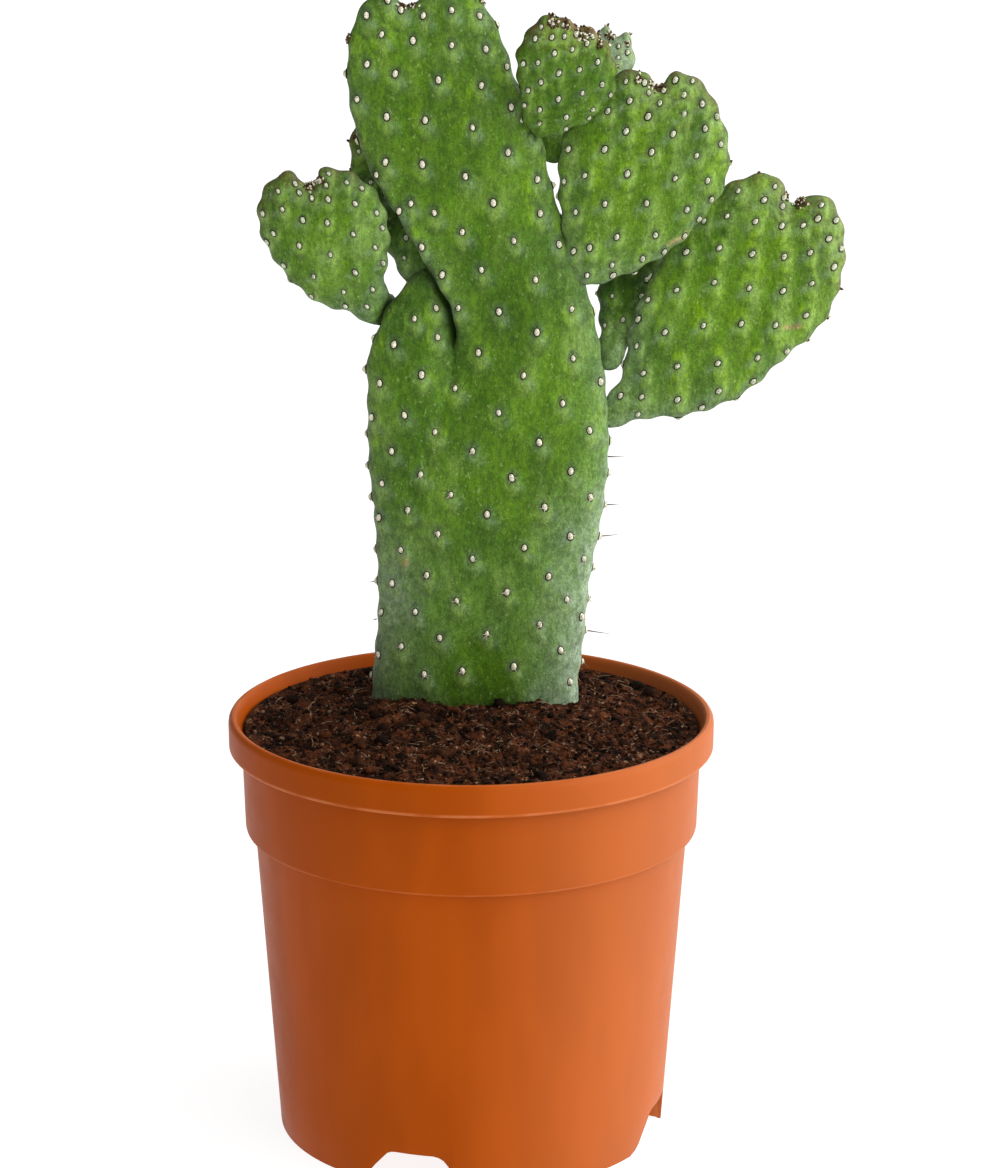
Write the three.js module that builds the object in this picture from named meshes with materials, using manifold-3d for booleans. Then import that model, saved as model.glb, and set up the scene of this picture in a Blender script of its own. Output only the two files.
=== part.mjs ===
// Potted paddle cactus: a tapered plastic pot filled with soil, a flattened forked stem and
// seven paddle joints. Millimetres, +Z up, front towards -Y, resting on z = 0.
import * as THREE from 'three';
import { mergeVertices } from 'three/addons/utils/BufferGeometryUtils.js';
import Module from 'manifold-3d';

const wasm = await Module();
wasm.setup();

// ---- driving dimensions, mm and degrees ----
const GAP = 0.4; // between a grown piece and what it stands in or against

const POT = {
  height: 151,
  rimR: 85,
  rimBandZ: 140,
  rimSkin: 1.7,
  collarTopR: 80.4,
  collarLowR: 79.5,
  collarZ: 110.6,
  bodyTopR: 76.2,
  footR: 68.5,
  wall: 1.4,
  floorZ: 16,
  floorThick: 1.6,
  sides: 40,
};
const NOTCH = { count: 4, firstDeg: -17, height: 13, topHalf: 8.4, midHalf: 11.5, lowHalf: 18.4, footHalf: 26 };
const DRAIN = { count: 6, ringR: 46, r: 5 };

const SOIL = { edgeZ: 147, moundZ: 151.6, edgeR: 79.3, rings: 7, lump: 0.9, chips: 16, chipR: 2.6 };

const STEM = {
  thickLow: 26,
  thickTop: 16,
  midLow: 17,
  midTop: 12,
  lowZ: 150,
  topZ: 400,
  shoulder: 27, // from the margin in to where the section is at full thickness
  pitch: [10, 23.5], // areoles: between columns, and along a column at the soil
  rowShrink: 0.037, // how the step along a column shortens upward
  colLean: [0.12, 0.00086], // columns drift left upward, ever faster
  phase: [2, 7], // of the front and back lattices, across
  neckClear: 14.5, // no areole on the stem this near a paddle's neck
};

const RELIEF = { depth: 0.09, reach: 0.54 }; // the hollow between areoles, in areole steps
const AREOLE = { r: 1.9, height: 1.1, sunk: 1.3, sides: 3, tuftPitch: 4.6 };
const EDGE_PITCH = 11.5; // areoles along a margin of the stem
const FINE_STEP = 10; // paddles with a shorter areole step have smaller cushions
const SPINE = { r: 0.45, sunk: 2.5, lengths: [4.5, 7.5], below: 246 };
const INSETS = [1.3, 4.4]; // two rings that round the margin

// outline of the main stem, x and z, from the buried foot up the left side and round
const STEM_OUTLINE = [
  [-30, 126], [-35, 140], [-35, 158], [-33, 181], [-33, 199], [-34, 228], [-31, 248], [-19, 264],
  [-7, 276], [-6, 289], [-15, 307], [-25, 324], [-34, 339], [-40, 356], [-42, 373], [-40, 388],
  [-35, 397], [-28, 400], [-21, 395], [-13, 400], [-3, 402], [5, 394], [11, 382], [15, 367],
  [23, 350], [28, 330], [33, 314], [40, 298], [44, 281], [47, 262], [48, 242], [46, 219],
  [42, 196], [40, 174], [38, 156], [38, 140], [32, 126], [0, 120],
];
// outline of the low left lobe, which the stem's main lobe partly covers
const LOBE_OUTLINE = [
  [-31, 214], [-35, 228], [-36, 246], [-36, 264], [-36, 274], [-33, 282], [-28, 292], [-22, 300],
  [-16, 305], [-10, 303], [-5, 294], [-3, 284], [0, 270], [0, 252], [-6, 230], [-18, 213],
];
const LOBE = { thinner: 0.2, setBack: 1.5, fromZ: 256, toZ: 298, shoulder: 19 };

// each paddle: where its neck leaves the stem, how far it leans to the right, tips back and
// twists, how far its neck steps back and its tip bows back, its thickness, and its outline
// across and along its axis
const PADDLES = {
  pad_left: {
    base: [-30.4, 12.5, 289.6], lean: -27.3, back: -6, twist: -4, step: 0, bow: -2, thick: 13,
    shoulder: 15, pitch: [6.8, 13.6], edge: 9.5,
    outline: [[-2, -5], [-11, 7], [-20, 19], [-24, 34], [-23, 47], [-16, 57], [-7, 60], [-1, 54],
      [6, 55], [14, 49], [19, 38], [15, 23], [6, 9], [4, -5]],
  },
  pad_back_left: {
    base: [-17, 18, 302.8], lean: -19.5, back: 22, twist: 0, step: 3, bow: 0, thick: 11,
    shoulder: 10, pitch: [7, 14], edge: 10,
    outline: [[-4, -6], [-8, 10], [-10, 23], [-11, 37], [-9, 50], [-4, 58], [1, 55], [7, 55],
      [12, 46], [14, 32], [13, 19], [9, 8], [4, -6]],
  },
  pad_top_small: {
    base: [24.7, 9, 351.3], lean: 12.6, back: -14, twist: 4, step: -2.5, bow: -1, thick: 13,
    shoulder: 12, pitch: [5.8, 11.6], edge: 8.5,
    outline: [[-3, -6], [-9, 7], [-15, 19], [-16, 28], [-14, 37], [-8, 43], [-3, 44], [1, 41],
      [6, 42], [13, 37], [18, 29], [19, 21], [16, 14], [9, 5], [3, -6]],
  },
  pad_top_back: {
    base: [27.3, 18.3, 345.5], lean: 25.5, back: 25, twist: 0, step: 4, bow: 2, thick: 10,
    shoulder: 10, pitch: [6.6, 13], edge: 9.5,
    outline: [[-3, -6], [-7, 5], [-10, 15], [-10, 27], [-7, 41], [-2, 51], [2, 49], [6, 52],
      [11, 47], [15, 39], [16, 28], [11, 15], [5, 6], [3, -6]],
  },
  pad_upper_right: {
    base: [38.6, 12.5, 299.4], lean: 18.1, back: 1, twist: 3, step: 0, bow: 1, thick: 14,
    shoulder: 18, pitch: [9, 17], edge: 10.5,
    outline: [[-4, -6], [-7, 6], [-15, 20], [-20, 32], [-23, 46], [-21, 59], [-16, 68], [-8, 75],
      [0, 73], [6, 80], [17, 78], [25, 71], [32, 61], [35, 48], [32, 36], [26, 23], [17, 11],
      [7, 1], [4, -6]],
  },
  pad_narrow_back: {
    base: [47.5, 19, 275], lean: 12.4, back: 30, twist: 0, step: 5, bow: 2, thick: 11,
    shoulder: 10, pitch: [7, 14], edge: 10,
    outline: [[-3, -6], [-5, 10], [-8, 22], [-10, 36], [-8, 49], [-3, 56], [1, 53], [5, 57],
      [10, 53], [14, 40], [14, 27], [10, 13], [5, 2], [3, -6]],
  },
  pad_lower_right: {
    base: [48.9, 16, 254.4], lean: 41.1, back: 9, twist: 4, step: 0, bow: 3, thick: 15,
    shoulder: 19, pitch: [8.5, 17], edge: 10.5,
    outline: [[-4, -5], [-6, 11], [-16, 28], [-20, 41], [-21, 60], [-21, 80], [-18, 92], [-11, 98],
      [-1, 96], [4, 104], [11, 105], [22, 98], [30, 87], [35, 72], [33, 54], [30, 34], [20, 16],
      [10, 6], [2, -5]],
  },
};
const FAN_BELOW = 62; // the columns of a paddle fan out from a point this far under its neck

const rad = THREE.MathUtils.degToRad;
const smooth = THREE.MathUtils.smoothstep;

// ---- small helpers ----
function drawer(seed) {
  let state = seed;
  return () => {
    state = (state * 1664525 + 1013904223) % 4294967296;
    return state / 4294967296;
  };
}

function solid(geometry) {
  const bare = geometry.clone();
  bare.deleteAttribute('normal');
  bare.deleteAttribute('uv');
  const g = mergeVertices(bare, 1e-4);
  return new wasm.Manifold(new wasm.Mesh({
    numProp: 3,
    vertProperties: new Float32Array(g.attributes.position.array),
    triVerts: new Uint32Array(g.index.array),
  }));
}

function geometryOf(body) {
  const mesh = body.getMesh();
  const g = new THREE.BufferGeometry();
  g.setAttribute('position', new THREE.BufferAttribute(new Float32Array(mesh.vertProperties), 3));
  g.setIndex(new THREE.BufferAttribute(new Uint32Array(mesh.triVerts), 1));
  return g;
}

function largestOf(body) {
  const parts = body.decompose();
  parts.sort((a, b) => b.volume() - a.volume());
  return parts[0];
}

function material(colour, roughness) {
  return new THREE.MeshStandardMaterial({ color: colour, roughness, metalness: 0, flatShading: true });
}

function node(name, body, colour, roughness) {
  const mesh = new THREE.Mesh(geometryOf(body), material(colour, roughness));
  mesh.name = name;
  return mesh;
}

// ---- an outline in a plane: spaced points, inside test, rounded distance from the margin ----
class Outline {
  constructor(points, grow = 0) {
    const ring = points.map(([v, s]) => new THREE.Vector3(v, 0, s));
    this.curve = new THREE.CatmullRomCurve3(ring, true, 'centripetal');
    this.length = this.curve.getLength();
    this.sampleCount = Math.round(this.length);
    const raw = this.curve.getSpacedPoints(this.sampleCount).slice(0, -1).map((p) => [p.x, p.z]);
    this.turn = Math.sign(raw.reduce((sum, p, i) => {
      const q = raw[(i + 1) % raw.length];
      return sum + p[0] * q[1] - q[0] * p[1];
    }, 0));
    this.samples = raw.map((p, i) => this.pushed(raw, i, grow));
  }

  pushed(ring, i, by) {
    const n = ring.length;
    const a = ring[(i + n - 2) % n];
    const b = ring[(i + 2) % n];
    const len = Math.hypot(b[0] - a[0], b[1] - a[1]);
    return [
      ring[i][0] + (this.turn * by * (b[1] - a[1])) / len,
      ring[i][1] - (this.turn * by * (b[0] - a[0])) / len,
    ];
  }

  margin(count, by) {
    const n = this.samples.length;
    const ring = [];
    for (let k = 0; k < count; k += 1) {
      const offset = typeof by === 'function' ? by(k) : by;
      ring.push(this.pushed(this.samples, Math.round((k * n) / count) % n, offset));
    }
    return ring;
  }

  nearest(v, s) {
    return Math.sqrt(Math.min(...this.samples.map((p) => (p[0] - v) ** 2 + (p[1] - s) ** 2)));
  }

  // like the distance from the margin, but with no crease along the middle
  depth(v, s) {
    let sum = 0;
    for (const p of this.samples) {
      const d2 = (p[0] - v) ** 2 + (p[1] - s) ** 2 + 1e-6;
      sum += 1 / (d2 * d2 * d2);
    }
    return (1.178 / sum) ** 0.2;
  }

  holds(v, s) {
    let inside = false;
    const n = this.samples.length;
    for (let i = 0, j = n - 1; i < n; j = i, i += 1) {
      const [xi, zi] = this.samples[i];
      const [xj, zj] = this.samples[j];
      if (zi > s !== zj > s && v < ((xj - xi) * (s - zi)) / (zj - zi) + xi) {
        inside = !inside;
      }
    }
    return inside;
  }
}

// ---- triangles over scattered points in a plane, each with an empty circumcircle ----
function circle(points, t) {
  const [ax, ay] = points[t[0]];
  const [bx, by] = points[t[1]];
  const [cx, cy] = points[t[2]];
  const d = 2 * (ax * (by - cy) + bx * (cy - ay) + cx * (ay - by));
  const a2 = ax * ax + ay * ay;
  const b2 = bx * bx + by * by;
  const c2 = cx * cx + cy * cy;
  const x = (a2 * (by - cy) + b2 * (cy - ay) + c2 * (ay - by)) / d;
  const y = (a2 * (cx - bx) + b2 * (ax - cx) + c2 * (bx - ax)) / d;
  return { x, y, r2: (ax - x) ** 2 + (ay - y) ** 2 };
}

function triangulate(points) {
  const far = 5000;
  const n = points.length;
  const all = [...points, [-far, -far], [far, -far], [0, far]];
  let tris = [[n, n + 1, n + 2]];
  let rounds = [circle(all, tris[0])];
  for (let i = 0; i < n; i += 1) {
    const [x, y] = all[i];
    const edges = new Map();
    const keep = [];
    const keepRounds = [];
    tris.forEach((t, k) => {
      const c = rounds[k];
      if ((x - c.x) ** 2 + (y - c.y) ** 2 >= c.r2) {
        keep.push(t);
        keepRounds.push(c);
        return;
      }
      for (const [a, b] of [[t[0], t[1]], [t[1], t[2]], [t[2], t[0]]]) {
        if (edges.has(`${b}_${a}`)) {
          edges.delete(`${b}_${a}`);
        } else {
          edges.set(`${a}_${b}`, [a, b]);
        }
      }
    });
    for (const [a, b] of edges.values()) {
      const t = [a, b, i];
      keep.push(t);
      keepRounds.push(circle(all, t));
    }
    tris = keep;
    rounds = keepRounds;
  }
  return tris.filter((t) => t.every((v) => v < n));
}

// ---- a grown slab: two faces that meet at a scalloped margin, raised at every areole ----
class Slab {
  constructor({ outline, thickAt, midAt, shoulder, lattices, step, edge, ...rest }) {
    const { buriedTo = -Infinity, grow = 0 } = rest;
    this.outline = new Outline(outline, grow);
    this.step = step;
    this.thickAt = thickAt;
    this.midAt = midAt;
    this.shoulder = shoulder;
    this.grow = grow;
    this.buriedTo = buriedTo;
    this.plain = grow > 0;
    this.pairs = Math.round(this.outline.length / edge);
    this.rim = this.outline.margin(this.pairs * 2, (k) => this.scallop(k));
    this.rimAreoles = this.rim.filter((p, k) => k % 2 === 0 && p[1] > buriedTo + 4);
    this.faces = lattices.map((lattice) => this.clip(lattice));
  }

  scallop(k) {
    if (this.plain) {
      return 0;
    }
    return k % 2 === 0 ? 0.2 : -0.8;
  }

  clip({ areoles, hollows }) {
    const inside = (clear) => ([v, s]) => this.outline.holds(v, s) && this.outline.nearest(v, s) > clear;
    const clear = Math.min(6.5, this.step * 0.6);
    return { areoles: areoles.filter(inside(clear)), hollows: hollows.filter(inside(clear + 0.3)) };
  }

  halfThick(v, s) {
    const t = Math.min(1, this.outline.depth(v, s) / this.shoulder);
    return (this.thickAt(s) / 2) * Math.sqrt(Math.max(0, 1 - (1 - t) ** 2)) + this.grow;
  }

  relief(face, v, s) {
    if (this.plain) {
      return 0;
    }
    const reach = RELIEF.reach * this.step;
    let lift = 0;
    for (const [a, b] of [...face.areoles, ...this.rimAreoles]) {
      const r = Math.hypot(a - v, b - s);
      if (r < reach) {
        lift = Math.max(lift, 0.5 + 0.5 * Math.cos((Math.PI * r) / reach));
      }
    }
    return -RELIEF.depth * this.step * (1 - lift);
  }

  // side -1 is the front face, +1 the back face
  point(face, side, v, s) {
    const half = this.halfThick(v, s);
    const sunk = this.relief(face, v, s) * Math.min(1, half / 4);
    return new THREE.Vector3(v, this.midAt(s) + side * Math.max(0.4, half + sunk), s);
  }

  normal(face, side, v, s) {
    const step = 0.8;
    const across = this.point(face, side, v + step, s).sub(this.point(face, side, v - step, s));
    const along = this.point(face, side, v, s + step).sub(this.point(face, side, v, s - step));
    return across.cross(along).normalize().multiplyScalar(side < 0 ? 1 : -1);
  }

  inner(face) {
    const rings = INSETS.flatMap((inset) => this.outline
      .margin(this.pairs * 2, -inset)
      .filter(([v, s]) => this.outline.holds(v, s) && this.outline.nearest(v, s) > inset * 0.85));
    const n = this.rim.length;
    const clearOfRim = ([v, s]) => this.rim.every((a, k) => {
      const b = this.rim[(k + 1) % n];
      const reach = Math.hypot(b[0] - a[0], b[1] - a[1]) / 2;
      return Math.hypot((a[0] + b[0]) / 2 - v, (a[1] + b[1]) / 2 - s) > reach * 1.01;
    });
    return [...rings, ...face.areoles, ...face.hollows].filter(clearOfRim);
  }

  faceTriangles(face, side) {
    const points = [...this.rim, ...this.inner(face)];
    const rimCount = this.rim.length;
    const spots = points.map(([v, s], i) => (i < rimCount
      ? new THREE.Vector3(v, this.midAt(s), s)
      : this.point(face, side, v, s)));
    const rimLoop = this.rim;
    const within = (v, s) => {
      let inside = false;
      for (let i = 0, j = rimCount - 1; i < rimCount; j = i, i += 1) {
        const [xi, zi] = rimLoop[i];
        const [xj, zj] = rimLoop[j];
        if (zi > s !== zj > s && v < ((xj - xi) * (s - zi)) / (zj - zi) + xi) {
          inside = !inside;
        }
      }
      return inside;
    };
    const corners = [];
    for (const t of triangulate(points)) {
      const [a, b, c] = t.map((i) => points[i]);
      if (!within((a[0] + b[0] + c[0]) / 3, (a[1] + b[1] + c[1]) / 3)) {
        continue;
      }
      const turn = (b[0] - a[0]) * (c[1] - a[1]) - (b[1] - a[1]) * (c[0] - a[0]);
      const order = turn > 0 === side < 0 ? t : [t[0], t[2], t[1]];
      corners.push(...order.map((i) => spots[i]));
    }
    return corners;
  }

  body() {
    const corners = [
      ...this.faceTriangles(this.faces[0], -1),
      ...this.faceTriangles(this.faces[1], 1),
    ];
    return solid(new THREE.BufferGeometry().setFromPoints(corners));
  }

  // where areoles sit: place and outward direction
  seats() {
    const list = [];
    this.faces.forEach((face, k) => {
      const side = k === 0 ? -1 : 1;
      for (const [v, s] of face.areoles) {
        if (s > this.buriedTo + 4) {
          list.push({ at: this.point(face, side, v, s), out: this.normal(face, side, v, s) });
        }
      }
    });
    const n = this.rim.length;
    for (let k = 0; k < n; k += 2) {
      const [v, s] = this.rim[k];
      if (s > this.buriedTo + 4) {
        const a = this.rim[(k + n - 1) % n];
        const b = this.rim[(k + 1) % n];
        const out = new THREE.Vector3(b[1] - a[1], 0, a[0] - b[0]).multiplyScalar(this.outline.turn);
        list.push({ at: new THREE.Vector3(v, this.midAt(s), s), out: out.normalize() });
      }
    }
    return list;
  }
}

const stepOf = ([col, row]) => Math.hypot(col, row / 2);

// areoles in staggered columns, with the hollows between them
function stagger(place, cols, rows, saddles) {
  const areoles = [];
  const hollows = [];
  for (let i = -cols; i <= cols; i += 1) {
    const shift = ((i + 100) % 2) / 2;
    for (let j = -1; j <= rows; j += 1) {
      areoles.push(place(i, j + shift));
      hollows.push(place(i, j + shift + 0.5));
      if (saddles) {
        hollows.push(place(i + 0.5, j + 0.25), place(i + 0.5, j + 0.75));
      }
    }
  }
  return { areoles, hollows };
}

function stemLattice(phaseX, phaseRow) {
  const [col, row] = STEM.pitch;
  const [drift, faster] = STEM.colLean;
  return stagger((i, j) => {
    const up = (row / STEM.rowShrink) * (1 - Math.exp(-STEM.rowShrink * (j + phaseRow)));
    const x = phaseX + i * col * (1 - up * 0.0006);
    return [x - drift * up - faster * up * up, STEM.lowZ + up];
  }, 18, 18, true);
}

function paddleLattice(height, pitch, phaseCol, phaseRow) {
  const [col, row] = pitch;
  const spread = col / (FAN_BELOW + height * 0.55);
  const saddles = stepOf(pitch) > FINE_STEP;
  return stagger((i, j) => {
    const reach = FAN_BELOW + (phaseRow + j) * row;
    const angle = (i + phaseCol) * spread;
    return [reach * Math.sin(angle), reach * Math.cos(angle) - FAN_BELOW];
  }, 9, Math.ceil(height / row) + 1, saddles);
}

// ---- areole cushions and spines, fused by their sunk roots ----
function cushion({ at, out }, size = 1) {
  const tall = (AREOLE.height + AREOLE.sunk) * size;
  const geometry = new THREE.ConeGeometry(AREOLE.r * size, tall, AREOLE.sides);
  geometry.translate(0, tall / 2 - AREOLE.sunk * size, 0);
  const turn = new THREE.Quaternion().setFromUnitVectors(new THREE.Vector3(0, 1, 0), out);
  geometry.applyQuaternion(turn);
  geometry.translate(at.x, at.y, at.z);
  return solid(geometry);
}

function spine(at, out, length) {
  const geometry = new THREE.ConeGeometry(SPINE.r, length + SPINE.sunk, 3);
  geometry.translate(0, (length + SPINE.sunk) / 2 - SPINE.sunk, 0);
  geometry.applyQuaternion(new THREE.Quaternion().setFromUnitVectors(new THREE.Vector3(0, 1, 0), out));
  geometry.translate(at.x, at.y, at.z);
  return solid(geometry);
}

// the dip between a paddle's two shoulders, where areoles crowd
function apexTuft(slab, near) {
  const draw = drawer(Math.round(Math.abs(near[0] * 13 + near[1] * 7)) + 5);
  const list = [];
  for (const side of [-1, 1]) {
    const face = slab.faces[side < 0 ? 0 : 1];
    for (let k = 0; k < 4; k += 1) {
      const v = near[0] + (k - 1.5) * AREOLE.tuftPitch;
      const s = near[1] - 4 - draw() * 3;
      if (slab.outline.holds(v, s) && slab.outline.nearest(v, s) > 1.5) {
        list.push({ at: slab.point(face, side, v, s), out: slab.normal(face, side, v, s) });
      }
    }
  }
  return list;
}

// ---- pot ----
function potProfile() {
  const p = POT;
  const slope = (p.bodyTopR - p.footR) / p.collarZ;
  const wallAt = (z) => p.footR + slope * z - p.wall;
  const points = [
    [p.footR, 0],
    [p.bodyTopR, p.collarZ],
    [p.collarLowR - 0.7, p.collarZ],
    [p.collarLowR, p.collarZ + 1.1],
    [p.collarTopR, p.rimBandZ],
    [p.collarTopR + 1, p.height - 4.8],
    [p.rimR - p.rimSkin, p.height - 4.8],
    [p.rimR - p.rimSkin, p.rimBandZ],
    [p.rimR - 0.1, p.rimBandZ],
    [p.rimR, p.height - 1.8],
    [p.rimR - 0.6, p.height - 0.5],
    [p.rimR - 1.7, p.height],
    [p.rimR - 2.8, p.height - 0.4],
    [p.rimR - 3.4, p.height - 1.6],
    [p.collarTopR - 0.2, p.height - 5],
    [p.collarTopR - p.wall + 0.1, p.rimBandZ],
    [p.collarLowR - p.wall, p.collarZ + 2.2],
    [p.bodyTopR - p.wall, p.collarZ - 1.4],
    [wallAt(p.floorZ), p.floorZ],
    [0, p.floorZ],
    [0, p.floorZ - p.floorThick],
    [wallAt(p.floorZ - p.floorThick), p.floorZ - p.floorThick],
    [wallAt(0), 0],
    [p.footR, 0],
  ];
  return points.map(([r, z]) => new THREE.Vector2(r, z));
}

function footNotch(angleDeg) {
  const n = NOTCH;
  const shape = new THREE.Shape();
  shape.moveTo(-n.footHalf, -1);
  shape.lineTo(-n.footHalf, 0.6);
  shape.lineTo(-n.lowHalf, 4);
  shape.lineTo(-n.midHalf, n.height * 0.66);
  shape.lineTo(-n.topHalf, n.height - 1);
  shape.lineTo(-n.topHalf + 1.6, n.height);
  shape.lineTo(n.topHalf - 1.6, n.height);
  shape.lineTo(n.topHalf, n.height - 1);
  shape.lineTo(n.midHalf, n.height * 0.66);
  shape.lineTo(n.lowHalf, 4);
  shape.lineTo(n.footHalf, 0.6);
  shape.lineTo(n.footHalf, -1);
  shape.closePath();
  const geometry = new THREE.ExtrudeGeometry(shape, { depth: 34, bevelEnabled: false });
  geometry.rotateX(Math.PI / 2);
  geometry.translate(0, -46, 0);
  geometry.rotateZ(rad(angleDeg));
  return solid(geometry);
}

function makePot() {
  const lathe = new THREE.LatheGeometry(potProfile(), POT.sides);
  lathe.rotateX(Math.PI / 2);
  let pot = solid(lathe);
  if (pot.volume() < 0) {
    throw new Error('pot is inside out');
  }
  const cuts = [];
  for (let k = 0; k < NOTCH.count; k += 1) {
    cuts.push(footNotch(NOTCH.firstDeg + (k * 360) / NOTCH.count));
  }
  for (let k = 0; k < DRAIN.count; k += 1) {
    const hole = new THREE.CylinderGeometry(DRAIN.r, DRAIN.r, 6, 12);
    hole.rotateX(Math.PI / 2);
    const a = rad((360 / DRAIN.count) * (k + 0.5));
    hole.translate(DRAIN.ringR * Math.sin(a), DRAIN.ringR * Math.cos(a), POT.floorZ - POT.floorThick / 2);
    cuts.push(solid(hole));
  }
  for (const cut of cuts) {
    pot = pot.subtract(cut);
  }
  return pot;
}

// ---- soil ----
function soilHeight(x, y) {
  const r = Math.hypot(x, y) / SOIL.edgeR;
  const mound = SOIL.edgeZ + (SOIL.moundZ - SOIL.edgeZ) * smooth(1 - r, 0, 0.75);
  const lumps = Math.sin(x * 0.31 + 1.3) * Math.cos(y * 0.27 - 0.4) + 0.7 * Math.sin(x * 0.83 - y * 0.61);
  return mound + SOIL.lump * 0.6 * lumps * smooth(1 - r, 0, 0.12);
}

function makeSoil(hole) {
  const p = POT;
  const slope = (p.bodyTopR - p.footR) / p.collarZ;
  const low = p.footR + slope * p.floorZ - p.wall - GAP;
  const side = [
    [0, p.floorZ + GAP],
    [low, p.floorZ + GAP],
    [p.bodyTopR - p.wall - GAP, p.collarZ - 1.8],
    [p.collarLowR - p.wall - GAP, p.collarZ + 2.4],
    [p.collarTopR - p.wall - GAP, p.rimBandZ],
    [SOIL.edgeR, SOIL.edgeZ - 3],
    [SOIL.edgeR - 0.6, SOIL.edgeZ - 0.8],
  ];
  const profile = side.map(([r, z]) => new THREE.Vector2(r, z));
  for (let k = 1; k <= SOIL.rings; k += 1) {
    const r = (SOIL.edgeR - 2) * (1 - k / SOIL.rings) ** 0.9;
    profile.push(new THREE.Vector2(k === SOIL.rings ? 0 : r, SOIL.moundZ + 5));
  }
  const lathe = new THREE.LatheGeometry(profile, POT.sides);
  lathe.rotateX(Math.PI / 2);
  const spots = lathe.attributes.position;
  for (let i = 0; i < spots.count; i += 1) {
    if (spots.getZ(i) > SOIL.moundZ + 2) {
      spots.setZ(i, soilHeight(spots.getX(i), spots.getY(i)));
    }
  }
  const draw = drawer(71);
  const pieces = [solid(lathe)];
  for (let k = 0; k < SOIL.chips; k += 1) {
    const r = Math.sqrt(draw()) * (SOIL.edgeR - 9);
    const a = draw() * Math.PI * 2;
    const size = SOIL.chipR * (0.55 + 0.75 * draw());
    const chip = new THREE.OctahedronGeometry(size, 0);
    chip.scale(1.2, 0.9, 0.7);
    chip.rotateX(draw() * 0.8);
    chip.rotateZ(draw() * 6);
    const x = r * Math.cos(a);
    const y = r * Math.sin(a);
    chip.translate(x, y, soilHeight(x, y) + size * 0.1);
    pieces.push(solid(chip));
  }
  return largestOf(wasm.Manifold.union(pieces).subtract(hole));
}

// ---- stem ----
const stemShare = (z) => smooth(z, STEM.lowZ, STEM.topZ);
const stemThick = (z) => STEM.thickLow + (STEM.thickTop - STEM.thickLow) * stemShare(z);
const stemMid = (z) => STEM.midLow + (STEM.midTop - STEM.midLow) * stemShare(z);

const lobeShare = (z) => smooth(z, LOBE.fromZ, LOBE.toZ);

function stemSlabs(grow) {
  const lattices = [stemLattice(STEM.phase[0], 0.3), stemLattice(STEM.phase[1], 0.55)];
  const shared = { lattices, step: stepOf(STEM.pitch) * 0.92, edge: EDGE_PITCH, grow };
  const main = new Slab({
    outline: STEM_OUTLINE,
    thickAt: stemThick,
    midAt: stemMid,
    shoulder: STEM.shoulder,
    buriedTo: STEM.lowZ + 1,
    ...shared,
  });
  const lobe = new Slab({
    outline: LOBE_OUTLINE,
    thickAt: (z) => stemThick(z) * (1 - LOBE.thinner * lobeShare(z)),
    midAt: (z) => stemMid(z) + LOBE.setBack * lobeShare(z),
    shoulder: LOBE.shoulder,
    ...shared,
  });
  return { main, lobe };
}

function clearOf(spots, gap) {
  return ({ at }) => spots.every((p) => at.distanceTo(p) > gap);
}

function stemSpines(seats) {
  const draw = drawer(23);
  const list = [];
  for (const { at, out } of seats) {
    const low = at.z < SPINE.below;
    const edge = Math.abs(out.x) > 0.85;
    if (low && draw() < (edge ? 0.5 : 0.16)) {
      const tip = out.clone().add(new THREE.Vector3(draw() - 0.5, draw() - 0.5, -0.5 * draw()));
      list.push(spine(at, tip.normalize(), SPINE.lengths[0] + draw() * (SPINE.lengths[1] - SPINE.lengths[0])));
    }
  }
  return list;
}

function makeStem(necks) {
  const { main, lobe } = stemSlabs(0);
  const plainMain = main.body();
  const plainLobe = lobe.body();
  const inLobe = ({ at }) => lobe.outline.holds(at.x, at.z) && lobe.outline.nearest(at.x, at.z) > 1;
  const inMain = ({ at }) => main.outline.holds(at.x, at.z) && main.outline.nearest(at.x, at.z) > 1;
  const clear = clearOf(necks, STEM.neckClear);
  const seats = [
    ...main.seats().filter((seat) => !inLobe(seat)),
    ...lobe.seats().filter((seat) => !inMain(seat) && seat.at.z > 240),
  ].filter(clear);
  const tufts = [...apexTuft(main, [-21, 396])];
  const pieces = [plainMain, plainLobe, ...seats.map((seat) => cushion(seat))];
  pieces.push(...tufts.map((seat) => cushion(seat, 1.2)), ...stemSpines(seats));
  return largestOf(wasm.Manifold.union(pieces));
}

// ---- paddles ----
function placement({ base, lean, back, twist }) {
  const turn = new THREE.Matrix4().makeRotationX(rad(-back));
  turn.multiply(new THREE.Matrix4().makeRotationY(rad(lean)));
  turn.multiply(new THREE.Matrix4().makeRotationZ(rad(twist)));
  return turn.setPosition(...base);
}

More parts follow.
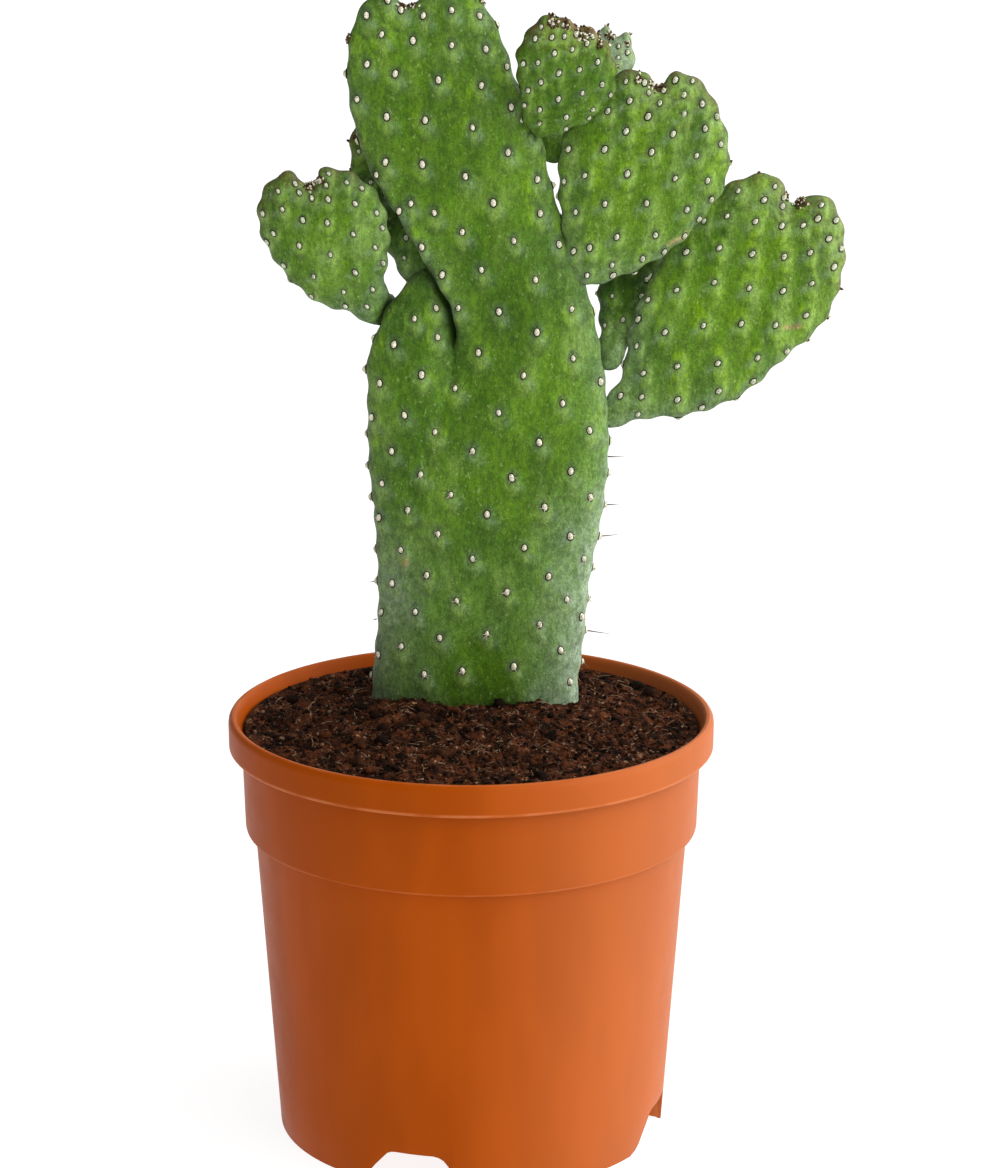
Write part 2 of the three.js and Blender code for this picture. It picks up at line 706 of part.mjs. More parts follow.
function makePaddle(spec, stemRoom) {
  const height = Math.max(...spec.outline.map((p) => p[1]));
  const phase = (Math.abs(spec.base[0]) % 7) / 7;
  const slab = new Slab({
    outline: spec.outline,
    thickAt: (s) => spec.thick * (0.78 + 0.22 * smooth(s, 0, height * 0.35)),
    midAt: (s) => spec.step * smooth(s, -2, 17) + spec.bow * (Math.max(0, s) / height) ** 2,
    shoulder: spec.shoulder,
    lattices: [
      paddleLattice(height, spec.pitch, phase - 0.5, 0.1 + phase * 0.3),
      paddleLattice(height, spec.pitch, 0.5 - phase, 0.6 - phase * 0.3),
    ],
    step: stepOf(spec.pitch),
    edge: spec.edge,
  });
  const seats = slab.seats().filter(({ at }) => at.z > 4);
  const apex = spec.outline
    .filter((p, i, all) => i > 1 && i < all.length - 2 && p[1] > height * 0.85)
    .filter((p) => Math.abs(p[0]) < 9)
    .reduce((a, b) => (b[1] < a[1] ? b : a));
  const tufts = apexTuft(slab, apex);
  const size = stepOf(spec.pitch) < FINE_STEP ? 0.8 : 1;
  const cushions = [...seats.map((s) => cushion(s, size)), ...tufts.map((s) => cushion(s, 1.1))];
  const pieces = [slab.body(), ...cushions];
  const grown = wasm.Manifold.union(pieces).transform(placement(spec).elements);
  return largestOf(grown.subtract(stemRoom));
}

// ---- whole ----
function build() {
  const necks = Object.values(PADDLES).map((spec) => new THREE.Vector3(...spec.base));
  const room = stemSlabs(GAP);
  const roomMain = room.main.body();
  const stemRoom = roomMain.add(room.lobe.body());
  const group = new THREE.Group();
  group.name = 'potted_paddle_cactus';
  group.add(node('pot', makePot(), 0xb8602c, 0.5));
  group.add(node('soil', makeSoil(roomMain), 0x3b2a20, 0.95));
  group.add(node('trunk', makeStem(necks), 0x55803a, 0.6));
  for (const [name, spec] of Object.entries(PADDLES)) {
    group.add(node(name, makePaddle(spec, stemRoom), 0x5f8f3c, 0.55));
  }
  const box = new THREE.Box3().setFromObject(group);
  const middle = box.getCenter(new THREE.Vector3());
  group.position.set(-middle.x, -middle.y, 0);
  group.updateMatrixWorld(true);
  return group;
}

export default build();
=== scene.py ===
"""Potted paddle cactus: a forked, flattened stem with seven paddles in a stepped plastic pot."""

import logging  # noqa: E402
import math  # noqa: E402
import random  # noqa: E402
from contextlib import contextmanager  # noqa: E402
from dataclasses import dataclass, field, replace  # noqa: E402
from enum import Enum  # noqa: E402
from typing import Any, Callable, Iterator, Sequence  # noqa: E402

import bmesh  # noqa: E402
import bpy  # noqa: E402
import numpy as np  # noqa: E402
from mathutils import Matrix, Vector, noise  # noqa: E402


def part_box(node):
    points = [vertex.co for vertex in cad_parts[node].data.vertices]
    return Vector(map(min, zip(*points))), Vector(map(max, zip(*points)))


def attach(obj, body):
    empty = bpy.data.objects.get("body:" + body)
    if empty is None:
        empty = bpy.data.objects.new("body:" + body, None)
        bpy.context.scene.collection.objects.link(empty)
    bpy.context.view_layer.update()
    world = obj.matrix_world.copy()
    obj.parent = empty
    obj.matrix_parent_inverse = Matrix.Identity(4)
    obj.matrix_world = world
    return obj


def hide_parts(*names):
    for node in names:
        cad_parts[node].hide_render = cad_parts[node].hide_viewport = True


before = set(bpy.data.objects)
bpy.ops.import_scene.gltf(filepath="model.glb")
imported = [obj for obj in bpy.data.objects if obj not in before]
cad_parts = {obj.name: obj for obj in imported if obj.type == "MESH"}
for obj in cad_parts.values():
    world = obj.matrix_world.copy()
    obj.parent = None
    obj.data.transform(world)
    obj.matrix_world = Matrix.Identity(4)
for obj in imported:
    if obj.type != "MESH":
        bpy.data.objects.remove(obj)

MM = 0.001
LOG = logging.getLogger("cactus")
Pair = tuple[float, float]
Triple = tuple[float, float, float]
Four = tuple[float, float, float, float]


class Face(Enum):
    """The two broad faces of a flattened piece; the value is the sign along Y."""

    FRONT = -1
    BACK = 1


class Slot(Enum):
    """The record's material slots."""

    POT = "pot_plastic"
    SOIL = "soil"
    STEM = "cactus_stem"
    PADDLE = "cactus_paddle"


# ---------------------------------------------------------------- numbers


def smooth(value: Any, low: float, high: float) -> Any:
    """Eases from 0 at low to 1 at high.

    Args:
        value: A number or an array.
        low: Where the ease starts.
        high: Where it ends; may be under low.

    Returns:
        The eased share, of the same shape as value.
    """
    share = np.clip((value - low) / (high - low), 0.0, 1.0)
    return share * share * (3 - 2 * share)


def paint(red: int, green: int, blue: int) -> Four:
    """Turns a colour as seen on a screen into the linear colour a shader takes.

    Args:
        red: Red, 0 to 255.
        green: Green, 0 to 255.
        blue: Blue, 0 to 255.

    Returns:
        Linear red, green, blue and alpha.
    """
    parts = [c / 255 for c in (red, green, blue)]
    linear = [c / 12.92 if c <= 0.04045 else ((c + 0.055) / 1.055) ** 2.4 for c in parts]
    return (linear[0], linear[1], linear[2], 1.0)


def grain(spots: np.ndarray, size: float, seed: float, octaves: int = 3) -> np.ndarray:
    """Reads a soft random field at points.

    Args:
        spots: Points in mm, one per row.
        size: Size of the largest lumps in mm.
        seed: Moves the field, so that two fields differ.
        octaves: How many finer layers are added.

    Returns:
        One value per point, about -1 to 1.
    """
    scaled = spots / size + seed
    return np.array([noise.fractal(p, 0.9, 2.1, octaves) for p in scaled])


def direction(way: np.ndarray) -> np.ndarray:
    """Makes a direction 1 long."""
    return way / np.linalg.norm(way)


def blot(spots: np.ndarray, middle: Pair, size: Pair) -> np.ndarray:
    """A soft oval patch: 1 at its middle and next to nothing twice its size away."""
    x, z = ((spots - middle) / size).T
    return np.exp(-(x**2) - z**2)


def off_line(spots: np.ndarray, start: Pair, end: Pair) -> np.ndarray:
    """Distance from points to the straight piece of line between two others."""
    way = np.subtract(end, start)
    share = np.clip((spots - start) @ way / (way @ way), 0, 1)
    return np.linalg.norm(spots - start - way * share[:, None], axis=1)


def swung(spots: np.ndarray, angle: float) -> np.ndarray:
    """Turns points about the vertical axis, by an angle in radians."""
    x, y, z = spots.T
    c, s = math.cos(angle), math.sin(angle)
    return np.column_stack([x * c - y * s, x * s + y * c, z])


# ---------------------------------------------------------------- modelling helpers


def deselect() -> None:
    """Leaves nothing selected, so that an operator acts only on what comes next."""
    bpy.ops.object.select_all(action="DESELECT")


def pick(piece: bpy.types.Object) -> None:
    """Selects one object alone and makes it active."""
    deselect()
    piece.select_set(True)
    bpy.context.view_layer.objects.active = piece


@contextmanager
def editing(piece: bpy.types.Object) -> Iterator[None]:
    """Opens a piece in edit mode with all of it selected, and closes it after.

    Args:
        piece: The object to edit.

    Yields:
        Nothing.
    """
    pick(piece)
    bpy.ops.object.mode_set(mode="EDIT")
    bpy.ops.mesh.select_all(action="SELECT")
    yield
    bpy.ops.object.mode_set(mode="OBJECT")


def choose(test: Callable[[Vector], bool]) -> None:
    """Selects the vertices of the mesh in edit mode whose places pass a test."""
    bpy.ops.mesh.select_mode(type="VERT")
    bpy.ops.mesh.select_all(action="DESELECT")
    shape = bmesh.from_edit_mesh(bpy.context.object.data)
    for spot in shape.verts:
        spot.select_set(test(spot.co))
    shape.select_flush_mode()
    bmesh.update_edit_mesh(bpy.context.object.data)


def extrude_edges(rise: float) -> None:
    """Extrudes the selected edges straight up, or down where rise is under 0."""
    bpy.ops.mesh.extrude_edges_move(TRANSFORM_OT_translate={"value": (0, 0, rise)})


def resize(factors: Triple, about: Triple = (0.0, 0.0, 0.0)) -> None:
    """Scales the selected part of the mesh in edit mode about a point."""
    bpy.ops.transform.resize(value=factors, center_override=about)


def face_outward() -> None:
    """Turns every face of the closed mesh in edit mode outward."""
    bpy.ops.mesh.select_all(action="SELECT")
    bpy.ops.mesh.normals_make_consistent(inside=False)


def apply_modifier(piece: bpy.types.Object, kind: str, **settings: Any) -> None:
    """Adds one modifier to a piece and applies it.

    Args:
        piece: The object to change.
        kind: The modifier's type.
        **settings: The modifier's own settings.
    """
    modifier = piece.modifiers.new(kind.title(), kind)
    for name, value in settings.items():
        setattr(modifier, name, value)
    pick(piece)
    bpy.ops.object.modifier_apply(modifier=modifier.name)


def settle(piece: bpy.types.Object, name: str, angle: float = 180.0) -> bpy.types.Object:
    """Puts a piece's place into its mesh, names it and smooths it.

    Args:
        piece: The modelled object.
        name: The name it gets.
        angle: Edges bent by more than this many degrees stay sharp.

    Returns:
        The same object.
    """
    pick(piece)
    bpy.ops.object.transform_apply(location=True, rotation=True, scale=True)
    if angle < 180.0:
        bpy.ops.object.shade_smooth_by_angle(angle=math.radians(angle))
    else:
        bpy.ops.object.shade_smooth()
    piece.name = name
    piece.data.name = name
    return piece


def places_of(piece: bpy.types.Object) -> np.ndarray:
    """Reads every vertex's place, one per row."""
    spots = np.empty(len(piece.data.vertices) * 3)
    piece.data.vertices.foreach_get("co", spots)
    return spots.reshape(-1, 3)


def move_to(piece: bpy.types.Object, spots: np.ndarray) -> None:
    """Moves every vertex of a piece to a new place.

    Args:
        piece: The object to change.
        spots: The new places, one per row.
    """
    piece.data.vertices.foreach_set("co", np.ascontiguousarray(spots, float).ravel())
    piece.data.update()


def mark(piece: bpy.types.Object, name: str, values: np.ndarray) -> None:
    """Stores one number per vertex under a name that a material reads.

    Args:
        piece: The object that gets the attribute.
        name: The attribute's name.
        values: One number per vertex.
    """
    layer = piece.data.attributes.new(name, "FLOAT", "POINT")
    layer.data.foreach_set("value", np.ascontiguousarray(values, np.float32))


def stand_for(piece: bpy.types.Object, node: str, slot: Slot) -> bpy.types.Object:
    """Lets a piece stand for a solid, on the one body of the part.

    Args:
        piece: The finished piece.
        node: The solid it stands for.
        slot: The record's material slot; not used.

    Returns:
        The same piece.
    """
    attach(piece, "root")
    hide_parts(node)
    return piece


def discard(piece: bpy.types.Object) -> None:
    """Deletes an object and its mesh, once it has served as a pattern or a cutter."""
    shape = piece.data
    bpy.data.objects.remove(piece)
    bpy.data.meshes.remove(shape)


@dataclass(frozen=True)
class Seat:
    """Where a small part grows: its place in mm and the directions it grows by."""

    at: np.ndarray
    out: np.ndarray
    up: np.ndarray
    size: float = 1.0
    stretch: float = 1.0

    def axes(self) -> np.ndarray:
        """The part's own across, up and out directions, one per row."""
        across = direction(np.cross(self.up, self.out))
        return np.array([across, np.cross(self.out, across), self.out])

    def grown(self, pattern: np.ndarray) -> np.ndarray:
        """Lays the pattern's points at this seat.

        Args:
            pattern: Points in mm, with Z outward.

        Returns:
            The points in the plant's own mm.
        """
        shaped = pattern * self.size * np.array([1.0, 1.0, self.stretch])
        return shaped @ self.axes() + self.at


class Stamp:
    """One modelled pattern, copied to many seats inside a single mesh."""

    def __init__(self, pattern: bpy.types.Object) -> None:
        """Takes over a modelled pattern, in mm, and deletes its object.

        Args:
            pattern: The object that was modelled once.
        """
        self.spots = places_of(pattern)
        self.sides = [tuple(side.vertices) for side in pattern.data.polygons]
        self.kinds = [side.material_index for side in pattern.data.polygons]
        discard(pattern)

    def copies(self, name: str, seats: Sequence[Seat], origin: Vector,
               finishes: Sequence[bpy.types.Material], shades: Sequence[float] = ()
               ) -> bpy.types.Object:
        """Makes one object that holds a copy of the pattern at every seat.

        Args:
            name: The object's name.
            seats: Where the copies grow.
            origin: Where the plant's own zero lies, in metres.
            finishes: The materials, in the pattern's order.
            shades: One number per copy, stored as the attribute "shade".

        Returns:
            The object.
        """
        spots = [seat.grown(self.spots) * MM + np.array(origin) for seat in seats]
        sides = [tuple(i + k * len(self.spots) for i in side)
                 for k in range(len(seats)) for side in self.sides]
        shape = bpy.data.meshes.new(name)
        shape.from_pydata(np.concatenate(spots).tolist(), [], sides)
        for finish in finishes:
            shape.materials.append(finish)
        shape.polygons.foreach_set("material_index", self.kinds * len(seats))
        piece = bpy.data.objects.new(name, shape)
        bpy.context.scene.collection.objects.link(piece)
        if len(shades):
            mark(piece, "shade", np.repeat(np.array(shades), len(self.spots)))
        pick(piece)
        bpy.ops.object.shade_smooth()
        return piece


# ---------------------------------------------------------------- shader bench


class Reading:
    """A value in a node tree, so that shader maths is written as an expression."""

    def __init__(self, bench: "Bench", socket: bpy.types.NodeSocket) -> None:
        """Wraps a node's output.

        Args:
            bench: The tree the value is in.
            socket: The output that gives it.
        """
        self.bench = bench
        self.socket = socket

    def _math(self, operation: str, *values: Any, clamp: bool = False) -> "Reading":
        """Adds one Math node and reads it."""
        settings = {"operation": operation, "use_clamp": clamp}
        return self.bench.node("ShaderNodeMath", settings, dict(enumerate(values)))

    def __add__(self, other: Any) -> "Reading":
        """Adds."""
        return self._math("ADD", self, other)

    __radd__ = __add__

    def __sub__(self, other: Any) -> "Reading":
        """Subtracts."""
        return self._math("SUBTRACT", self, other)

    def __rsub__(self, other: Any) -> "Reading":
        """Subtracts from a number."""
        return self._math("SUBTRACT", other, self)

    def __mul__(self, other: Any) -> "Reading":
        """Multiplies."""
        return self._math("MULTIPLY", self, other)

    __rmul__ = __mul__

    def clamped(self) -> "Reading":
        """Keeps the value between 0 and 1."""
        return self._math("MULTIPLY", self, 1.0, clamp=True)

    def between(self, low: float, high: float, start: float = 0.0, end: float = 1.0
                ) -> "Reading":
        """Eases from start, where the value is low, to end, where it is high.

        Args:
            low: The value at which the ease starts.
            high: The value at which it ends.
            start: What it gives at low.
            end: What it gives at high.

        Returns:
            The eased value.
        """
        if low > high:
            low, high, start, end = high, low, end, start
        sockets = {"Value": self, "From Min": low, "From Max": high,
                   "To Min": start, "To Max": end}
        settings = {"interpolation_type": "SMOOTHSTEP"}
        return self.bench.node("ShaderNodeMapRange", settings, sockets)


class Bench:
    """A material's node tree and the ways to add to it."""

    def __init__(self, name: str, tree: bpy.types.NodeTree | None = None) -> None:
        """Starts an empty material, or clears another tree to work in.

        Args:
            name: The material's name.
            tree: A tree that is there already, such as the world's.
        """
        if tree is None:
            self.material = bpy.data.materials.new(name)
            self.material.use_nodes = True
            tree = self.material.node_tree
        self.tree = tree
        self.tree.nodes.clear()
        self.place = self.node("ShaderNodeTexCoord", output="Object")

    def node(self, kind: str, settings: dict[str, Any] | None = None,
             sockets: dict[Any, Any] | None = None, output: Any = 0) -> Reading:
        """Adds any node: its settings first, then the values or links of its sockets.

        Args:
            kind: The node's type.
            settings: The node's own settings.
            sockets: Values or readings by input name or number.
            output: The name or number of the output to read.

        Returns:
            The reading of that output.
        """
        made = self.tree.nodes.new(kind)
        for name, value in (settings or {}).items():
            setattr(made, name, value)
        for name, value in (sockets or {}).items():
            if isinstance(value, Reading):
                self.tree.links.new(value.socket, made.inputs[name])
            else:
                made.inputs[name].default_value = value
        return Reading(self, made.outputs[output] if made.outputs else None)

    def mark(self, name: str) -> Reading:
        """Reads a number that the mesh stores per vertex."""
        return self.node("ShaderNodeAttribute", {"attribute_name": name}, output="Fac")

    def cloud(self, size: float, detail: float, squeeze: float = 1.0, rough: float = 0.55,
              seed: float = 0.0) -> Reading:
        """Adds a soft random pattern.

        Args:
            size: The size of its lumps in mm.
            detail: How much finer detail it has.
            squeeze: The factor on heights; under 1 it stretches the lumps upward.
            rough: How strong the finer detail is.
            seed: Gives another pattern of the same size.

        Returns:
            A value around 0.5.
        """
        place = self.place
        if squeeze != 1.0:
            sockets = {"Vector": place, "Scale": (1.0, 1.0, squeeze)}
            place = self.node("ShaderNodeMapping", {}, sockets)
        sockets = {"Vector": place, "Scale": 1 / (size * MM), "Detail": detail,
                   "Roughness": rough, "W": seed}
        return self.node("ShaderNodeTexNoise", {"noise_dimensions": "4D"}, sockets)

    def cells(self, size: float, output: str = "Distance") -> Reading:
        """Adds a pattern of irregular cells.

        Args:
            size: The size of a cell in mm.
            output: Distance to the cell's middle, or Color for one colour per cell.

        Returns:
            The pattern's output.
        """
        sockets = {"Vector": self.place, "Scale": 1 / (size * MM)}
        return self.node("ShaderNodeTexVoronoi", {}, sockets, output)

    def along(self, axis: int, place: Reading | None = None) -> Reading:
        """Reads one number of a place: 0 for X, 1 for Y, 2 for Z."""
        return self.node("ShaderNodeSeparateXYZ", {}, {0: place or self.place}, axis)

    def blend(self, share: Any, under: Any, over: Any, way: str = "MIX") -> Reading:
        """Lays one colour over another.

        Args:
            share: How much of the upper colour shows.
            under: The colour below.
            over: The colour on top.
            way: The blend type.

        Returns:
            The mixed colour.
        """
        settings = {"data_type": "RGBA", "blend_type": way, "clamp_factor": True}
        return self.node("ShaderNodeMix", settings, {0: share, 6: under, 7: over}, 2)

    def bump(self, height: Reading, depth: float, normal: Reading | None = None) -> Reading:
        """Turns a height pattern into a bumped normal.

        Args:
            height: The pattern.
            depth: What 1 in the pattern stands for, in mm.
            normal: A bumped normal that this one goes on top of.

        Returns:
            The normal.
        """
        sockets: dict[str, Any] = {"Height": height, "Distance": depth * MM, "Strength": 1.0}
        if normal is not None:
            sockets["Normal"] = normal
        return self.node("ShaderNodeBump", {}, sockets)

    def finish(self, colour: Any, rough: Any, normal: Reading | None = None,
               fixed: dict[str, float] | None = None) -> bpy.types.Material:
        """Closes the tree with its surface.

        Args:
            colour: Base colour or its reading.
            rough: Roughness or its reading.
            normal: The bumped normal.
            fixed: Constant values on the shader's own sockets.

        Returns:
            The material.
        """
        sockets = {"Base Color": colour, "Roughness": rough, **(fixed or {})}
        if normal is not None:
            sockets["Normal"] = normal
        surface = self.node("ShaderNodeBsdfPrincipled", {}, sockets)
        self.node("ShaderNodeOutputMaterial", {}, {"Surface": surface})
        return self.material


# ---------------------------------------------------------------- finishes


@dataclass(frozen=True)
class PotFinish:
    """Satin moulded plastic in terracotta orange, with faint flow marks, scuffs, a painted sheen
    that pales the right side and painted highlight lines along the edges.
    """

    body: tuple = paint(172, 75, 4)
    dark: tuple = paint(161, 69, 2)
    scuff_and_sheen: tuple = paint(192, 118, 76)
    # Painted highlight: edge is the pale colour, and edges the height bands and strengths of the
    # thin light lines painted along the rim's lower edge, the collar's lower edge and the rim's
    # top.
    edge: tuple = paint(206, 122, 74)
    edges: tuple[Triple, ...] = ((140.0, 140.9, 0.6), (110.5, 111.2, 0.3), (150.9, 155.0, 0.3))

    def build(self) -> bpy.types.Material:
        """Builds the material."""
        b = Bench("pot_satin_plastic")
        flow = b.cloud(26, 2, squeeze=0.3)
        colour = b.blend(flow.between(0.35, 0.65), self.dark, self.body)
        scuff = b.cloud(3.2, 4, squeeze=0.12, rough=0.7, seed=4.0)
        film = b.cloud(40, 1, rough=0.5, seed=9.0).between(0.5, 0.7)
        colour = b.blend(scuff.between(0.62, 0.8) * film * 0.16, colour, self.scuff_and_sheen)
        # Painted sheen: the right side is blended towards the pale scuff colour, standing in for
        # the light's reflection there.
        right_sheen = b.along(0).between(-0.035, 0.06, 0.0, 0.46)
        colour = b.blend(right_sheen, colour, self.scuff_and_sheen)
        height = b.along(2)
        # Painted highlight lines along the edges, broken up by a soft noise.
        highlight_breakup = b.cloud(14, 3, rough=0.6, seed=11.0).between(0.35, 0.6, 0.3, 1.0)
        for low, high, share in self.edges:
            line = (height.between((low - 0.3) * MM, low * MM)
                    * height.between((high + 0.4) * MM, high * MM))
            colour = b.blend(line * highlight_breakup * share, colour, self.edge)
        rough = b.cloud(9, 3, rough=0.6, seed=2.0).between(0.3, 0.7, 0.4, 0.47)
        skin = b.cloud(0.7, 2, rough=0.6, seed=6.0)
        wave = b.cloud(30, 1, squeeze=0.6, rough=0.4, seed=7.0)
        normal = b.bump(skin, 0.02, b.bump(wave, 0.04))
        return b.finish(colour, rough, normal, {"Specular IOR Level": 0.05})


@dataclass(frozen=True)
class SoilFinish:
    """Dark fibrous peat: near-black crumbs with brown and paler bits."""

    dark: tuple = paint(24, 11, 4)
    brown: tuple = paint(104, 56, 30)
    pale: tuple = paint(196, 158, 124)
    own_shade: bool = False

    def build(self) -> bpy.types.Material:
        """Builds the material."""
        b = Bench("crumb_peat" if self.own_shade else "bed_peat")
        lumps = b.cloud(5, 4, rough=0.7)
        grit = b.cells(1.1)
        colour = b.blend(lumps.between(0.38, 0.66), self.dark, self.brown)
        if self.own_shade:
            own = b.mark("shade")
            colour = b.blend(own.between(0.2, 0.7), self.dark, colour)
            colour = b.blend(own.between(0.84, 1.0) * 0.8, colour, self.pale)
        else:
            flecks = b.cells(2.3, "Color")
            bright = b.node("ShaderNodeSeparateColor", {}, {0: flecks}, 0)
            speck = bright.between(0.8, 0.95) * grit.between(0.55, 0.2) * 0.75
            colour = b.blend(speck, colour, self.pale)
            litter = b.cloud(0.7, 3, rough=0.8, seed=6.0).between(0.56, 0.7)
            colour = b.blend(litter * 0.7, colour, self.brown)
        fine = b.cloud(0.9, 4, rough=0.75, seed=3.0)
        normal = b.bump(fine, 1.3, b.bump(grit, 0.6))
        return b.finish(colour, 0.92, normal, {"Specular IOR Level": 0.1})


@dataclass(frozen=True)
class SkinFinish:
    """Waxy cactus skin: mottled green, pale bloom, a halo and a pale tongue per areole, and
    painted shade in folds, at seams and round each felt.
    """

    name: str
    deep: tuple
    middle: tuple
    light: tuple
    yellow: tuple
    bloom: tuple = paint(158, 176, 150)
    halo: tuple = paint(122, 146, 112)
    glint: tuple = paint(186, 204, 136)
    shadow: tuple = paint(28, 48, 10)
    russet: tuple = paint(112, 62, 40)
    cork: tuple = paint(176, 148, 104)
    streak: float = 0.8

    def build(self) -> bpy.types.Material:
        """Builds the material."""
        b = Bench(self.name)
        relief = b.mark("relief")
        patch = b.cloud(24, 3, squeeze=0.6)
        streaks = b.cloud(7, 4, squeeze=0.28, rough=0.6, seed=5.0)
        mottle = b.cloud(2.6, 5, rough=0.68, seed=8.0)
        tone = patch * 0.45 + streaks * 0.3 + mottle * 0.25
        colour = b.blend(tone.between(0.36, 0.62), self.deep, self.middle)
        ridge = (relief.between(0.0, 1.0, -0.12, 0.16) + streaks).between(0.5, 0.72)
        colour = b.blend(ridge * self.streak, colour, self.yellow)
        glow = b.cloud(11, 3, squeeze=0.45, rough=0.55, seed=12.0).between(0.52, 0.75)
        colour = b.blend(glow * 0.5, colour, self.light)
        # Painted shade: darkens the skin towards the shadow colour in the fork, at necks and
        # seams, under paddles in front and along margins.
        colour = b.blend(b.mark("painted_shade") * 0.75, colour, self.shadow)
        halo = b.mark("halo") * mottle.between(0.36, 0.58, 0.3, 1.0)
        colour = b.blend(halo * 0.55, colour, self.halo)
        tongue = b.mark("tongue") * streaks.between(0.34, 0.54, 0.35, 1.0)
        colour = b.blend(tongue * 0.55, colour, self.light)
        # Painted shade in the crescent fold below each areole.
        colour = b.blend(b.mark("under") * mottle.between(0.35, 0.6) * 0.4, colour, self.shadow)
        # Painted shade round the upper side of each areole's felt.
        colour = b.blend(b.mark("pit_shade") * 0.6, colour, self.shadow)
        speck = b.cloud(0.55, 3, rough=0.8, seed=15.0).between(0.6, 0.72)
        dusting = b.cloud(9, 3, rough=0.65, seed=18.0).between(0.42, 0.68)
        wax = b.mark("bloom")
        frost = (wax * mottle.between(0.3, 0.7, 0.45, 1.2) + speck * dusting * 0.46).clamped()
        colour = b.blend(frost, colour, self.bloom)
        crown = b.mark("crown") * b.cloud(3.4, 3, rough=0.6, seed=21.0).between(0.36, 0.6)
        colour = b.blend(crown, colour, self.russet)
        colour = b.blend(b.mark("scar") * mottle.between(0.3, 0.55), colour, self.cork)
        pores = b.cloud(0.8, 3, rough=0.75, seed=24.0)
        fleck = b.cloud(1.5, 4, squeeze=0.5, rough=0.85, seed=30.0)
        blotch = b.cloud(5, 3, squeeze=0.7, rough=0.6, seed=33.0)
        shade = (fleck.between(0.38, 0.62, 0.74, 1.22) * pores.between(0.38, 0.62, 0.82, 1.14)
                 * blotch.between(0.36, 0.46, 0.88, 1.03))
        colour = b.blend(1.0, colour, shade, "MULTIPLY")
        for size, least, share in ((1.3, 0.59, 0.34), (0.8, 0.6, 0.42)):
            strokes = b.cloud(size, 3, squeeze=0.75, rough=0.7, seed=40.0 + size)
            spread = b.cloud(8, 3, squeeze=0.5, rough=0.7, seed=36.0 + size)
            lit = strokes.between(least, least + 0.08) * spread.between(0.42, 0.6, 0.1, 1.0)
            colour = b.blend(lit * share, colour, self.glint)
        rough = wax * 0.25 + mottle * 0.16 + 0.36
        ripple = b.cloud(3.6, 3, squeeze=0.5, rough=0.6, seed=27.0)
        normal = b.bump(pores, 0.2, b.bump(ripple, 0.5))
        return b.finish(colour, rough, normal, {"Specular IOR Level": 0.16})


STEM_SKIN = SkinFinish("stem_skin", paint(55, 91, 6), paint(87, 127, 16),
                       paint(124, 152, 70), paint(108, 148, 4))
PADDLE_SKIN = SkinFinish("paddle_skin", paint(58, 96, 4), paint(90, 129, 14),
                         paint(142, 174, 88), paint(114, 154, 4))


@dataclass(frozen=True)
class FeltFinish:
    """The areole's short felt, or the dark scale that rims it, which is near-black partly as
    painted shade.
    """

    name: str
    dull: tuple
    bright: tuple
    rough: float = 0.85

    def build(self) -> bpy.types.Material:
        """Builds the material."""
        b = Bench(self.name)
        nap = b.cloud(0.5, 3, rough=0.7)
        colour = b.blend(nap.between(0.35, 0.65), self.dull, self.bright)
        return b.finish(colour, self.rough, b.bump(nap, 0.25), {"Specular IOR Level": 0.25})


CREAM_FELT = FeltFinish("areole_cream_felt", paint(178, 168, 128), paint(254, 252, 234))
SILVER_FELT = FeltFinish("areole_silver_felt", paint(136, 142, 108), paint(238, 240, 214))
# The rim scale: partly its own brown, partly painted shade round the felt.
RIM_AND_SHADE = FeltFinish("areole_rim_and_shade", paint(16, 14, 8), paint(40, 34, 20))
BROWN_BUD = FeltFinish("bud_brown", paint(34, 24, 14), paint(104, 74, 48))
SPINE_HORN = FeltFinish("spine_horn", paint(150, 138, 112), paint(232, 226, 202), 0.5)
OLD_SPINE = FeltFinish("spine_old", paint(58, 46, 38), paint(128, 106, 88), 0.5)


@dataclass
class Finishes:
    """All the materials of the object, built once."""

    pot: bpy.types.Material = field(default_factory=PotFinish().build)
    bed: bpy.types.Material = field(default_factory=SoilFinish().build)
    crumb: bpy.types.Material = field(default_factory=SoilFinish(own_shade=True).build)
    stem: bpy.types.Material = field(default_factory=STEM_SKIN.build)
    paddle: bpy.types.Material = field(default_factory=PADDLE_SKIN.build)
    felt: bpy.types.Material = field(default_factory=CREAM_FELT.build)
    silver: bpy.types.Material = field(default_factory=SILVER_FELT.build)
    rim: bpy.types.Material = field(default_factory=RIM_AND_SHADE.build)
    bud: bpy.types.Material = field(default_factory=BROWN_BUD.build)
    spine: bpy.types.Material = field(default_factory=SPINE_HORN.build)
    thorn: bpy.types.Material = field(default_factory=OLD_SPINE.build)


# ---------------------------------------------------------------- patterns modelled once


